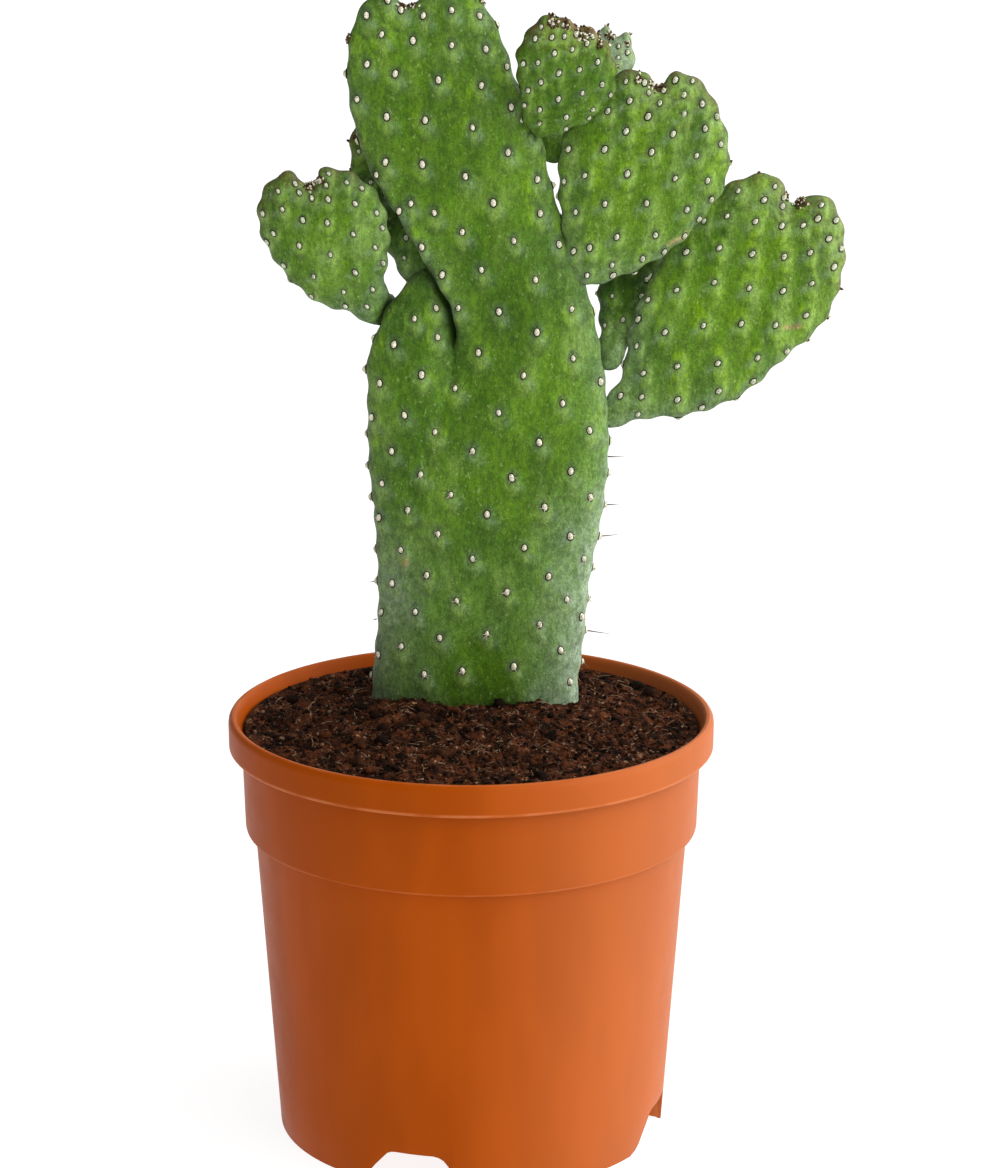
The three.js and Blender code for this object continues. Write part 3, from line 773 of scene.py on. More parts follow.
def cushion_pattern(wide: float = 0.84, tall: float = 1.2) -> Stamp:
    """Models one areole: a raised oval of felt in a low dark scale, near-black partly as painted
    shade.

    Args:
        wide: Half the felt's width in mm.
        tall: Half the felt's length in mm.

    Returns:
        The pattern, with the felt as material 0 and the scale as material 1.
    """
    deselect()
    bpy.ops.mesh.primitive_uv_sphere_add(segments=8, ring_count=6, radius=1.0)
    piece = bpy.context.object
    with editing(piece):
        choose(lambda p: p.z < -0.2)
        bpy.ops.mesh.delete(type="VERT")
        choose(lambda p: p.z < 0.1)
        extrude_edges(0.06)
        resize((1.38, 1.3, 1.0), (0, 0.05, 0))
        extrude_edges(-0.6)
        resize((1.1, 1.08, 1.0))
        bpy.ops.mesh.select_all(action="SELECT")
        resize((wide, tall, 0.9))
        bpy.ops.transform.translate(value=(0, 0, 0.16))
    for side in piece.data.polygons:
        outer = math.hypot(side.center.x / wide, side.center.y / tall) > 1.02
        side.material_index = 1 if outer else 0
    return Stamp(piece)


def spine_pattern() -> Stamp:
    """Models one fine spine, 1 mm long, with its root sunk, in mm."""
    deselect()
    bpy.ops.mesh.primitive_cone_add(vertices=4, radius1=0.16, radius2=0.0, depth=1.0,
                                    end_fill_type="NOTHING", location=(0, 0, 0.5))
    piece = bpy.context.object
    bpy.ops.object.transform_apply(location=True)
    with editing(piece):
        bpy.ops.mesh.subdivide(number_cuts=2)
        choose(lambda p: 0.2 < p.z < 0.9)
        bpy.ops.transform.translate(value=(0.0, -0.05, 0.0))
    return Stamp(piece)


def bead_pattern() -> Stamp:
    """Models one dried bud scale, a small pointed bead, in mm."""
    deselect()
    bpy.ops.mesh.primitive_ico_sphere_add(subdivisions=1, radius=1.0)
    piece = bpy.context.object
    with editing(piece):
        choose(lambda p: p.z > 0.6)
        resize((0.7, 0.7, 1.35))
    return Stamp(piece)


@dataclass
class Patterns:
    """The small repeated shapes."""

    cushion: Stamp = field(default_factory=cushion_pattern)
    spine: Stamp = field(default_factory=spine_pattern)
    bead: Stamp = field(default_factory=bead_pattern)


# ---------------------------------------------------------------- flattened, grown pieces


class Margin:
    """The closed, smooth outline of a flattened piece, across and along, in mm.

    KERNEL makes the rounded depth equal the plain one beside a straight line: it is the
    integral of (1 + t * t) ** -3 over that line. CHUNK only limits the memory used at once.
    """

    SPACING = 0.5
    KERNEL = 1.178
    CHUNK = 2000

    def __init__(self, controls: Sequence[Pair], foot: int) -> None:
        """Draws a smooth closed line through control points.

        Args:
            controls: Points from the left foot up, over the tip and down the right side.
            foot: Which point is the right foot, counted from the end.
        """
        ring = np.array(controls, float)
        curve = self._curve(ring)
        steps = np.linalg.norm(np.diff(curve, axis=0), axis=1)
        arcs = np.concatenate([[0.0], np.cumsum(steps)])
        self.length = float(arcs[-1])
        count = round(self.length / self.SPACING)
        self.arcs = np.linspace(0, self.length, count, endpoint=False)
        self.ring = np.stack([np.interp(self.arcs, arcs, curve[:, k]) for k in (0, 1)], 1)
        after = np.roll(self.ring, -1, 0)
        area = np.sum(self.ring[:, 0] * after[:, 1] - self.ring[:, 1] * after[:, 0])
        way = (np.roll(self.ring, -4, 0) - np.roll(self.ring, 4, 0)) * np.sign(area)
        way /= np.linalg.norm(way, axis=1)[:, None]
        self.normals = np.stack([way[:, 1], -way[:, 0]], 1)
        self.corner_arcs = self._corners(ring[foot])

    @staticmethod
    def _curve(ring: np.ndarray) -> np.ndarray:
        """Evaluates a closed centripetal spline through the points."""
        before, here, after, beyond = (np.roll(ring, k, 0) for k in (1, 0, -1, -2))

        def knot(a: np.ndarray, b: np.ndarray) -> np.ndarray:
            """Spacing of the spline between two rows of points."""
            return (np.sum((a - b) ** 2, 1) ** 0.25)[:, None]

        d0, d1, d2 = knot(before, here), knot(here, after), knot(after, beyond)
        leave = (here - before) / d0 - (after - before) / (d0 + d1) + (after - here) / d1
        reach = (after - here) / d1 - (beyond - here) / (d1 + d2) + (beyond - after) / d2
        leave, reach = leave * d1, reach * d1
        t = np.linspace(0, 1, 48, endpoint=False)[None, :, None]
        p, q, m, n = (a[:, None, :] for a in (here, after, leave, reach))
        curve = p + m * t + (3 * q - 3 * p - 2 * m - n) * t**2 + (2 * p - 2 * q + m + n) * t**3
        return np.concatenate([curve.reshape(-1, 2), ring[:1]])

    def _corners(self, foot: np.ndarray) -> tuple[float, float, float]:
        """Finds where the left side, the tip and the right side of the outline meet."""
        ring = self.ring
        left = self.arcs[np.argmax(ring[:, 1] - ring[:, 0])]
        right = self.arcs[np.argmax(ring[:, 1] + ring[:, 0])]
        last = self.arcs[np.argmin(np.sum((ring - foot) ** 2, 1))]
        return float(left), float(right), float(last)

    def at(self, arc: Any) -> np.ndarray:
        """Places along the outline, by the way gone from the left foot."""
        return np.stack([np.interp(np.asarray(arc) % self.length, self.arcs, self.ring[:, k],
                                   period=self.length) for k in (0, 1)], -1)

    def laid(self, across: np.ndarray, along: np.ndarray) -> np.ndarray:
        """Lays a unit square inside the outline.

        Args:
            across: 0 at the left side to 1 at the right.
            along: 0 at the foot to 1 at the tip.

        Returns:
            Points inside the outline, one per row.
        """
        left, right, foot = self.corner_arcs
        u, v = across[:, None], along[:, None]
        sides = self.at(along * left) * (1 - u) + self.at(foot + along * (right - foot)) * u
        ends = (self.at(self.length + across * (foot - self.length)) * (1 - v)
                + self.at(left + across * (right - left)) * v)
        corners = [self.at(a) for a in (0.0, foot, left, right)]
        flat = ((corners[0] * (1 - u) + corners[1] * u) * (1 - v)
                + (corners[2] * (1 - u) + corners[3] * u) * v)
        return sides + ends - flat

    def measure(self, spots: np.ndarray) -> tuple[np.ndarray, np.ndarray, np.ndarray]:
        """Measures points against the outline.

        Args:
            spots: Points across and along, one per row.

        Returns:
            The rounded depth inside the outline, the plain distance to it, and the number
            of the nearest outline sample.
        """
        rounded, plain = np.empty(len(spots)), np.empty(len(spots))
        nearest = np.empty(len(spots), int)
        for low in range(0, len(spots), self.CHUNK):
            part = slice(low, low + self.CHUNK)
            gap = spots[part, None, :] - self.ring[None]
            squared = np.einsum("ijk,ijk->ij", gap, gap) + 1e-6
            nearest[part] = np.argmin(squared, 1)
            total = np.sum(squared**-3, 1) * self.SPACING
            rounded[part] = (self.KERNEL / total) ** 0.2
            plain[part] = self._to_line(spots[part], nearest[part])
        share = smooth(plain, 0.6, 2.0)
        return plain * (1 - share) + rounded * share, plain, nearest

    def _to_line(self, spots: np.ndarray, nearest: np.ndarray) -> np.ndarray:
        """Distance from points to the pieces of line beside their nearest samples."""
        best = np.full(len(spots), 1e9)
        for shift in (-1, 0):
            a = self.ring[(nearest + shift) % len(self.ring)]
            way = self.ring[(nearest + shift + 1) % len(self.ring)] - a
            t = np.clip(np.sum((spots - a) * way, 1) / np.sum(way * way, 1), 0, 1)
            best = np.minimum(best, np.linalg.norm(spots - a - way * t[:, None], axis=1))
        return best

    def holds(self, spots: np.ndarray) -> np.ndarray:
        """Tells which points lie inside the outline."""
        x, y = spots[:, 0][:, None], spots[:, 1][:, None]
        a, b = self.ring[None], np.roll(self.ring, -1, 0)[None]
        spans = (a[..., 1] > y) != (b[..., 1] > y)
        cross = (b[..., 0] - a[..., 0]) * (y - a[..., 1]) / (b[..., 1] - a[..., 1] + 1e-12)
        return np.sum(spans & (x < cross + a[..., 0]), 1) % 2 == 1


@dataclass(frozen=True)
class Mound:
    """The rise under one areole and its marks, in mm where areoles stand spacing apart.

    The methods take places across and along, counted from the areole.
    """

    spacing: float = 14.2
    reach: float = 10.0
    radius: float = 8.0
    taller: float = 1.08
    below: float = 1.0
    pit_radius: float = 1.5
    pit_width: float = 0.6
    ring_radius: float = 2.9
    tail_at: float = 3.4
    tail_size: Pair = (2.7, 1.7)
    glow_width: float = 1.5
    bowl_radius: float = 4.0
    bowl_width: float = 0.75

    def lift(self, x: np.ndarray, z: np.ndarray, long: float) -> np.ndarray:
        """The rounded rise itself, stretched along by the factor long."""
        r = np.hypot(x, (z + self.below) / self.taller / long)
        return 0.5 + 0.5 * np.cos(np.pi * np.minimum(1, r / self.radius))

    def pit_shade(self, x: np.ndarray, z: np.ndarray) -> np.ndarray:
        """The painted shade round the upper side of the felt."""
        off = (np.hypot(x, (z - 0.2) / 1.3) - self.pit_radius) / self.pit_width
        return np.exp(-(off**2)) * smooth(z, -3.6, 0.6)

    def halo(self, x: np.ndarray, z: np.ndarray, tail: Pair) -> np.ndarray:
        """The cool ring round the areole, with a tail in the given direction."""
        a, b = x * tail[0] + z * tail[1], x * tail[1] - z * tail[0]
        wide, narrow = self.tail_size
        cool = np.exp(-(((a - self.tail_at) / wide) ** 2) - (b / narrow) ** 2)
        ring = 0.75 * np.exp(-((np.hypot(x, (z + 0.6) / 1.2) / self.ring_radius) ** 4))
        return np.maximum(cool, ring)

    def tongue(self, x: np.ndarray, z: np.ndarray, glow: Four) -> np.ndarray:
        """The pale drop beside the areole: its place across and along, length and slant."""
        aside, down, long, tilt = glow
        off = (x - aside - tilt * (z - down)) / self.glow_width
        return np.exp(-(((z - down) / long) ** 2) - off**2)

    def under(self, x: np.ndarray, z: np.ndarray) -> np.ndarray:
        """The dark crescent below the areole: a slight dip in the skin, darkened by painted shade.
        """
        off = (np.hypot(x, (z + 2.6) / 1.15) - self.bowl_radius) / self.bowl_width
        return np.exp(-(off**2)) * smooth(-z, 3.4, 6.0)


@dataclass
class Relief:
    """What the skin does at a set of points: its height and its marks by name."""

    height: np.ndarray
    marks: dict[str, np.ndarray]


@dataclass
class Flat:
    """A flattened grown body: two broad faces that meet at a scalloped margin.

    Thick and middle give its thickness and its middle plane at a place along it, and the
    faces round off within shoulder of the margin. Step and edge space the areoles on the
    faces and on the margin; front and behind are their places. Fineness is the grid's step
    and hollow the depth between areoles, as a share of step. Nothing grows below buried.
    Beat is the depth of the scallops. Ridge says how long a mound is to its width and how it
    slants, tail where a halo points, and glow where the pale drop lies.
    """

    margin: Margin
    thick: Callable[[np.ndarray], np.ndarray]
    middle: Callable[[np.ndarray], np.ndarray]
    shoulder: float
    step: float
    edge: float
    front: np.ndarray
    behind: np.ndarray
    fineness: float = 0.8
    hollow: float = 0.05
    buried: float = -1e9
    bend: Callable[[Face, np.ndarray, np.ndarray], np.ndarray] | None = None
    beat: float = 0.95
    ridge: Pair = (1.0, 0.0)
    tail: Pair = (-0.75, -0.66)
    glow: Four = (1.9, -2.6, 6.5, 0.14)
    mound: Mound = Mound()
    crowding: Pair = (0.85, 0.8)
    rim_clear: float = 5.2

    def __post_init__(self) -> None:
        """Keeps the areoles that fit on each face, and spaces those of the margin."""
        self.lattices = {Face.FRONT: self._fitted(self.front),
                         Face.BACK: self._well_inside(self.behind)}
        self.lowest = self.buried + 4
        self.pairs = round(self.margin.length / self.edge)
        arcs = np.arange(self.pairs) * self.margin.length / self.pairs
        gap = self.margin.at(arcs)[:, None, :] - self.lattices[Face.FRONT][None]
        self.keep_rims(arcs[np.linalg.norm(gap, axis=2).min(1) > self.rim_clear])

    def _well_inside(self, spots: np.ndarray) -> np.ndarray:
        """Keeps the places that lie clear of the margin."""
        return spots[self.depth_in(spots) > min(6.5, self.step * 0.6)]

    def _fitted(self, spots: np.ndarray) -> np.ndarray:
        """Draws the places that lie near or past the margin a little way inside it."""
        _, plain, nearest = self.margin.measure(spots)
        within = self.margin.holds(spots)
        signed = np.where(within, plain, -plain)
        way = self.margin.normals[nearest] * np.maximum(0, 1.5 - signed)[:, None]
        return (spots - way)[signed > -4.0]

    def keep_rims(self, arcs: np.ndarray) -> None:
        """Sets where areoles sit on the margin."""
        self.rim_arcs = arcs
        self.rim = self.margin.at(arcs)

    def depth_in(self, spots: np.ndarray) -> np.ndarray:
        """Plain distance to the margin: above 0 inside it, under 0 outside."""
        plain = self.margin.measure(spots)[1]
        return np.where(self.margin.holds(spots), plain, -plain)

    def relief(self, face: Face, spots: np.ndarray) -> Relief:
        """Works out the mound under each areole and the marks round it.

        Args:
            face: Which broad face.
            spots: Points across and along, one per row.

        Returns:
            The relief there.
        """
        mound, (long, slant) = self.mound, self.ridge
        scale = self.step / mound.spacing
        reach = mound.reach * max(1.0, long)
        c, w = math.cos(slant), math.sin(slant)
        marks = {key: np.zeros(len(spots)) for key in ("halo", "tongue", "under", "pit_shade",
                                                       "relief")}
        rims = self.rim[self.rim[:, 1] > self.lowest]
        for k, (v, s) in enumerate(np.concatenate([self.lattices[face], rims])):
            x, z = (spots[:, 0] - v) / scale, (spots[:, 1] - s) / scale
            near = (np.abs(x) < reach) & (np.abs(z) < reach)
            x, z = x[near], z[near]
            x, z = x * c + z * w, z * c - x * w
            own = {"relief": mound.lift(x, z, long), "pit_shade": mound.pit_shade(x, z)}
            if k < len(self.lattices[face]):
                own |= {"halo": mound.halo(x, z, self.tail),
                        "tongue": mound.tongue(x, z, self.glow), "under": mound.under(x, z)}
            for key, values in own.items():
                marks[key][near] = np.maximum(marks[key][near], values)
        wrinkle = grain(np.column_stack([spots[:, 0], spots[:, 1] * 0.55,
                                         np.full(len(spots), face.value * 9.0)]), 9.0, self.step)
        height = (-self.hollow * self.step * (1 - marks["relief"])
                  + 0.3 * scale * marks["tongue"] - 0.25 * scale * marks["under"]
                  + 0.3 * wrinkle - 0.3)
        return Relief(height, marks)

    def raised(self, face: Face, spots: np.ndarray, relief: Relief | None = None
               ) -> np.ndarray:
        """Raises points of the plane onto a face of the body.

        Args:
            face: Which broad face.
            spots: Points across and along, one per row.
            relief: Their relief, if it is known.

        Returns:
            Places in mm in the piece's own axes, one per row.
        """
        relief = relief or self.relief(face, spots)
        depth, _, nearest = self.margin.measure(spots)
        share = np.minimum(1, depth / self.shoulder)
        half = self.thick(spots[:, 1]) / 2 * np.sqrt(np.maximum(0, 1 - (1 - share) ** 2))
        rise = half + relief.height * np.minimum(1, half / 4)
        wave = 0.5 + 0.5 * np.cos(2 * np.pi * self.margin.arcs[nearest] * self.pairs
                                  / self.margin.length)
        push = self.beat * (wave - 0.63) * np.exp(-depth / 4.0)
        push *= smooth(spots[:, 1], self.buried - 2, self.buried + 6)
        moved = spots + self.margin.normals[nearest] * push[:, None]
        y = self.middle(spots[:, 1]) + face.value * np.maximum(0.0, rise)
        if self.bend is not None:
            y = y + self.bend(face, spots, depth)
        return np.column_stack([moved[:, 0], y, moved[:, 1]])

    def skin(self, name: str, finish: bpy.types.Material,
             dress: Callable[[Face, np.ndarray, np.ndarray], dict[str, np.ndarray]],
             put: Callable[[np.ndarray], np.ndarray]) -> bpy.types.Object:
        """Models the skin: a grid doubled, laid in the outline, raised and welded.

        Args:
            name: The piece's name.
            finish: Its material.
            dress: Gives a face's further marks from points in the plane and their depth.
            put: Takes places in the piece's own mm to metres in the frame.

        Returns:
            The object.
        """
        spread = np.ptp(self.margin.ring, axis=0)
        deselect()
        bpy.ops.mesh.primitive_grid_add(x_subdivisions=round(spread[0] / self.fineness * 1.3),
                                        y_subdivisions=round(spread[1] / self.fineness), size=1)
        piece = bpy.context.object
        u, v = (places_of(piece) + 0.5)[:, :2].T
        across = u - self.crowding[0] * np.sin(2 * np.pi * u) / (2 * np.pi)
        along = v + self.crowding[1] * np.sin(np.pi * v) / np.pi
        with editing(piece):
            bpy.ops.mesh.duplicate()
            bpy.ops.mesh.flip_normals()
        flat = self.margin.laid(across, along)
        depth = self.margin.measure(flat)[0]
        reliefs = {face: self.relief(face, flat) for face in Face}
        move_to(piece, np.concatenate([put(self.raised(face, flat, relief))
                                       for face, relief in reliefs.items()]))
        marks = [relief.marks | dress(face, flat, depth) for face, relief in reliefs.items()]
        for key in marks[0]:
            mark(piece, key, np.concatenate([side[key] for side in marks]))
        with editing(piece):
            bpy.ops.mesh.remove_doubles(threshold=1e-6)
        piece.data.materials.append(finish)
        return settle(piece, name)

    def seats(self, put: Callable[[np.ndarray], np.ndarray],
              turn: Callable[[np.ndarray], np.ndarray]) -> tuple[list[Seat], list[Seat]]:
        """Finds every areole's seat on both faces and along the margin.

        Args:
            put: Takes places in the piece's own mm to the plant's mm.
            turn: Turns directions from the piece's own axes to the plant's.

        Returns:
            The seats on the faces and those on the margin.
        """
        found: list[Seat] = []
        rims: list[Seat] = []
        up = turn(np.array([[0.0, 0.0, 1.0]]))[0]
        for face, spots in self.lattices.items():
            shown = spots[spots[:, 1] > self.lowest]
            at = self.raised(face, shown)
            right = self.raised(face, shown + (0.8, 0)) - self.raised(face, shown - (0.8, 0))
            over = self.raised(face, shown + (0, 0.8)) - self.raised(face, shown - (0, 0.8))
            out = np.cross(right, over) * -face.value
            out /= np.linalg.norm(out, axis=1)[:, None]
            found += [Seat(a, o, up) for a, o in zip(put(at), turn(out))]
        for arc in self.rim_arcs:
            spot = self.margin.at(arc)[None]
            if spot[0, 1] < self.lowest:
                continue
            k = int(np.argmin(np.abs(self.margin.arcs - arc)))
            way = self.margin.normals[k]
            at = spot + way * 0.25
            place = np.array([[at[0, 0], float(self.middle(spot[:, 1])[0]), at[0, 1]]])
            out = turn(np.array([[way[0], 0.0, way[1]]]))[0]
            side = turn(np.array([[way[1], 0.0, -way[0]]]))[0]
            rims.append(Seat(put(place)[0], out, side))
        return found, rims


def as_is(places: np.ndarray) -> np.ndarray:
    """Leaves places or directions as they are, for a piece drawn in the plant's own mm."""
    return places


def staggered(place: Callable[[int, float], Pair], columns: int, rows: int) -> np.ndarray:
    """Lists areole places in columns, every other one shifted by half a step.

    Args:
        place: Gives a place from column and row.
        columns: How many columns to each side of the middle one.
        rows: How many rows.

    Returns:
        The places, one per row.
    """
    spots = [place(i, j + ((i + 100) % 2) / 2)
             for i in range(-columns, columns + 1) for j in range(-1, rows + 1)]
    return np.array(spots)


# ---------------------------------------------------------------- the plant


@dataclass
class Plant:
    """What stem and paddles share: the zero of their sizes, materials and patterns."""

    origin: Vector
    finishes: Finishes
    patterns: Patterns

    def in_frame(self, spots: np.ndarray) -> np.ndarray:
        """Takes places in the plant's mm to metres in the frame."""
        return spots * MM + np.array(self.origin)

    def areoles(self, name: str, node: str, slot: Slot, seats: list[Seat], seed: int,
                bristle: float = 1.0) -> list[bpy.types.Object]:
        """Grows the felt cushions and their short bristles.

        Args:
            name: The start of the pieces' names.
            node: The solid they stand for.
            slot: The record's material slot.
            seats: Where they grow.
            seed: Keeps each run the same.
            bristle: The length of the bristles in mm.

        Returns:
            The two objects.
        """
        draw = random.Random(seed)
        felt, hairs = [], []
        for seat in seats:
            size = seat.size * draw.uniform(0.86, 1.14)
            tip = seat.up + seat.axes()[0] * draw.uniform(-0.25, 0.25)
            felt.append(Seat(seat.at - seat.out * 0.12, seat.out, tip, size,
                             draw.uniform(0.8, 1.25)))
            for _ in range(draw.choice((1, 2, 2, 3))):
                across, up, out = seat.axes()
                lean = direction(out + across * draw.uniform(-0.9, 0.9)
                                 + up * draw.uniform(-1.1, 0.5))
                root = (seat.at + up * draw.uniform(-0.7, 0.7)
                        + across * draw.uniform(-0.5, 0.5))
                hairs.append(Seat(root, lean, up, 0.75, bristle * draw.uniform(1.2, 2.6)))
        f = self.finishes
        soft = f.felt if slot is Slot.STEM else f.silver
        pieces = [
            self.patterns.cushion.copies(f"{name}_areoles", felt, self.origin, [soft, f.rim]),
            self.patterns.spine.copies(f"{name}_bristles", hairs, self.origin, [f.spine]),
        ]
        return [stand_for(piece, node, slot) for piece in pieces]

    def tuft(self, name: str, node: str, slot: Slot, middles: Sequence[tuple], seed: int,
             skin: bpy.types.Object, perch: float = 0.4) -> bpy.types.Object:
        """Packs dried bud scales where a tip or a bud has stopped growing.

        Args:
            name: The piece's name.
            node: The solid it stands for.
            slot: The record's material slot.
            middles: Each tuft's place, outward way, across way, half sizes and count.
            seed: Keeps each run the same.
            skin: The skin the scales sit on.
            perch: How far above the skin a scale's middle may lie, in mm.

        Returns:
            The object.
        """
        draw = random.Random(seed)
        seats, shades = [], []
        ground = (places_of(skin) - np.array(self.origin)) / MM
        for at, out, across, (wide, deep), count in middles:
            side = np.cross(out, across)
            for _ in range(count):
                a, r = draw.uniform(0, 2 * math.pi), math.sqrt(draw.random())
                u, w = math.cos(a) * r, math.sin(a) * r
                lean = direction(out + across * u * 0.9 + side * w * 0.9)
                spot = at + across * u * wide + side * w * deep + out * (0.5 * (1 - r * r))
                gaps = np.linalg.norm(ground - spot, axis=1)
                near = int(np.argmin(gaps))
                spot = ground[near] + (spot - ground[near]) * min(1.0, perch / gaps[near])
                seats.append(Seat(spot, lean, across, draw.uniform(0.26, 0.56),
                                  draw.uniform(0.8, 1.7)))
                shades.append(draw.random())
        piece = self.patterns.bead.copies(name, seats, self.origin,
                                          [self.finishes.bud, self.finishes.felt], shades)
        per = len(self.patterns.bead.sides)
        kinds = [1 if shade > 0.7 else 0 for shade in shades for _ in range(per)]
        piece.data.polygons.foreach_set("material_index", kinds)
        return stand_for(piece, node, slot)


@dataclass
class Stem:
    """The thick, flattened main stem that forks into a tall lobe and a low left lobe.

    Outlines and areoles are places across and up, in mm from the pot's foot. A spine is its
    place and then its reach across and up. Thickness and middle run from the soil to the tip;
    column, row, shrink, drift and phase space the areoles of the back. Touched is the line
    along which the small paddle touches the stem, lapped an areole hidden under the main
    edge, and grey, green and cork are patches: a middle and a size.
    """

    plant: Plant
    necks: list[np.ndarray]
    outline: tuple[Pair, ...] = (
        (-30, 126), (-35, 140), (-35, 158), (-33, 181), (-33, 199), (-34, 228), (-31, 248),
        (-19, 264), (-7, 276), (-6, 289), (-15, 307), (-25, 324), (-34, 339), (-40, 356),
        (-42, 373), (-40, 388), (-35, 397), (-28, 400), (-21, 395), (-13, 400), (-3, 402),
        (5.4, 394), (11.2, 382), (14.9, 371), (19.7, 361), (24.2, 351), (25.6, 343),
        (27, 336), (29.4, 328), (33, 314), (40, 298), (44, 281),
        (47, 262), (48, 242), (46, 219), (42, 196), (40, 174), (38, 156), (38, 140), (32, 126),
        (0, 120))
    lobe_outline: tuple[Pair, ...] = (
        (-31, 214), (-35, 228), (-36, 246), (-36, 264), (-36, 274), (-33, 282), (-29, 292),
        (-23, 299), (-19.5, 303.5), (-14, 305.5), (-9, 302), (-5, 294), (-3, 284), (0, 270),
        (0, 252), (-6, 230), (-18, 213))
    areoles: tuple[Pair, ...] = (
        (-28, 397), (-23.5, 394), (-16, 392), (-6.5, 394), (3, 392), (-35, 392),
        (-30, 386), (-19.5, 384), (-6.5, 382.5), (5, 381), (12.5, 375),
        (-35, 376), (-25.5, 373), (-11, 371), (3.5, 369), (13.5, 361.5),
        (-38.5, 364), (-28.5, 358.5), (-15.5, 357.5), (0.5, 355), (12.5, 346.5), (20.5, 351),
        (-29, 343), (-16.5, 342.5), (-2, 338.5), (22.5, 337), (7.5, 329.5), (23.5, 325.5),
        (-33, 338), (-26, 325.5), (-20.5, 329), (-12.5, 326), (-3, 319.5), (14.5, 316.5),
        (-17, 314), (-10, 304.5), (3.5, 306.5), (22, 303), (30, 314.5), (34.5, 292.5),
        (-4.5, 293), (9.5, 292), (22.5, 285), (2.5, 277.5), (18, 270), (35, 275.5),
        (44.5, 266.5), (-5.5, 265), (9.5, 257), (31.5, 260), (41, 250), (-12.5, 250),
        (23.5, 246.5), (0.5, 243.5), (34.5, 236), (14, 234), (-7, 228), (41.5, 226),
        (-12, 292.5), (-19.5, 289), (-11.5, 282.5), (-26.5, 280), (-17, 270), (-31.5, 266.5),
        (-23, 256), (-34.5, 254), (-27.5, 243), (-17.5, 235), (-31, 231), (25.5, 223.5),
        (-22, 222), (5.5, 221), (-32, 218), (-11.5, 214), (34.5, 212.5), (18.5, 209),
        (-24.5, 207.5), (0.5, 205), (39.5, 203.5), (-15.5, 199), (27, 198.5), (-27.5, 195),
        (12.5, 193), (-5, 190), (33.5, 189.5), (-19.5, 185.5), (-31.5, 183.5), (24, 181),
        (39, 182), (5.5, 178), (-11, 176.5), (-24.5, 172.5), (31.5, 171), (-33, 168),
        (15, 166), (-3, 164.5), (-16.5, 163), (35, 158.5), (21, 154.5))
    spines: tuple[Four, ...] = (
        (47.6, 239, 6.6, 0.2), (45.8, 219, 6.6, 0.5), (43.2, 208, 8.0, 1.0),
        (40.4, 178, 10.4, -1.4), (40.2, 166, 3.4, -2.4), (-34.6, 193.5, -3.4, -0.5),
        (-33.4, 180, -1.6, -0.2), (-15.5, 357.5, -2.7, -0.8), (22.5, 285, -1.8, -1.6),
        (9.5, 257, 1.4, -1.4), (18.5, 209, -1.9, -0.6), (18.5, 209, 1.8, -0.2),
        (-15.5, 199, -1.9, -1.7), (-19.5, 185.5, -2.0, -0.6), (-19.5, 185.5, 0.2, -3.2),
        (-11, 176.5, 0.1, -2.8), (15, 166, 2.2, -1.8), (-3, 164.5, -2.7, -2.2),
        (-33, 168, -1.8, 0.9), (-33, 168, -1.5, -1.4), (31.5, 171, -1.4, -1.0))
    thickness: Pair = (26.0, 16.0)
    middle: Pair = (17.0, 12.0)
    span: Pair = (150.0, 400.0)
    lobe_span: Pair = (256.0, 298.0)
    lobe_thinner: float = 0.2
    lobe_back: float = 1.5
    shoulders: Pair = (27.0, 19.0)
    column: float = 10.0
    row: float = 23.5
    shrink: float = 0.037
    drift: Pair = (0.12, 0.00086)
    phase: Pair = (7.0, 0.55)
    spines_below: float = 246.0
    buds: tuple[Pair, ...] = ((-41, 384), (3, 396))
    touched: tuple[Pair, Pair] = ((15.4, 370), (21.6, 352))
    lapped: Pair = (-22.4, 318.7)
    lip_forward: float = 5.5
    sunk: Pair = (5.5, 4.5)
    areole_size: float = 1.02
    neck_clear: float = 7.0
    spine_girth: float = 1.7
    tip_at: Triple = (-21.0, 12.0, 395.2)
    grey: tuple[Pair, Pair] = ((-27, 192), (9, 17))
    green: tuple[Pair, Pair] = ((3, 160), (13, 13))
    cork: tuple[Pair, Pair] = ((-22.8, 203.3), (1.1, 1.5))
    main: Flat = field(init=False)
    lobe: Flat = field(init=False)

    def _share(self, z: np.ndarray) -> np.ndarray:
        """How far up the stem a height is."""
        return smooth(z, *self.span)

    def _thick(self, z: np.ndarray) -> np.ndarray:
        """The stem's thickness at a height."""
        return self.thickness[0] + (self.thickness[1] - self.thickness[0]) * self._share(z)

    def _middle(self, z: np.ndarray) -> np.ndarray:
        """Where the stem's middle plane lies at a height."""
        return self.middle[0] + (self.middle[1] - self.middle[0]) * self._share(z)

    def _lattice(self) -> np.ndarray:
        """Spaces the areoles of the back in columns that drift left upward."""

        def place(i: int, j: float) -> Pair:
            """Place of one areole."""
            up = self.row / self.shrink * (1 - math.exp(-self.shrink * (j + self.phase[1])))
            x = self.phase[0] + i * self.column * (1 - up * 0.0006)
            return (x - self.drift[0] * up - self.drift[1] * up * up, self.span[0] + up)

        return staggered(place, 18, 18)

    def __post_init__(self) -> None:
        """Works out the main body and the low lobe."""
        shared = {"step": math.hypot(self.column, self.row / 2) * 0.92, "edge": 11.5,
                  "front": np.array(self.areoles), "behind": self._lattice(), "hollow": 0.044,
                  "beat": 0.6, "tail": (0.6, -0.8), "glow": (0.4, -4.4, 3.0, 0.0)}

        def lip(face: Face, flat: np.ndarray, depth: np.ndarray) -> np.ndarray:
            """Draws the main body's left edge forward, over the low lobe."""
            x, z = flat[:, 0], flat[:, 1]
            window = smooth(z, 277, 293) * smooth(z, 350, 322) * smooth(x, 8, -2)
            return -self.lip_forward * window * np.exp(-depth / 5)

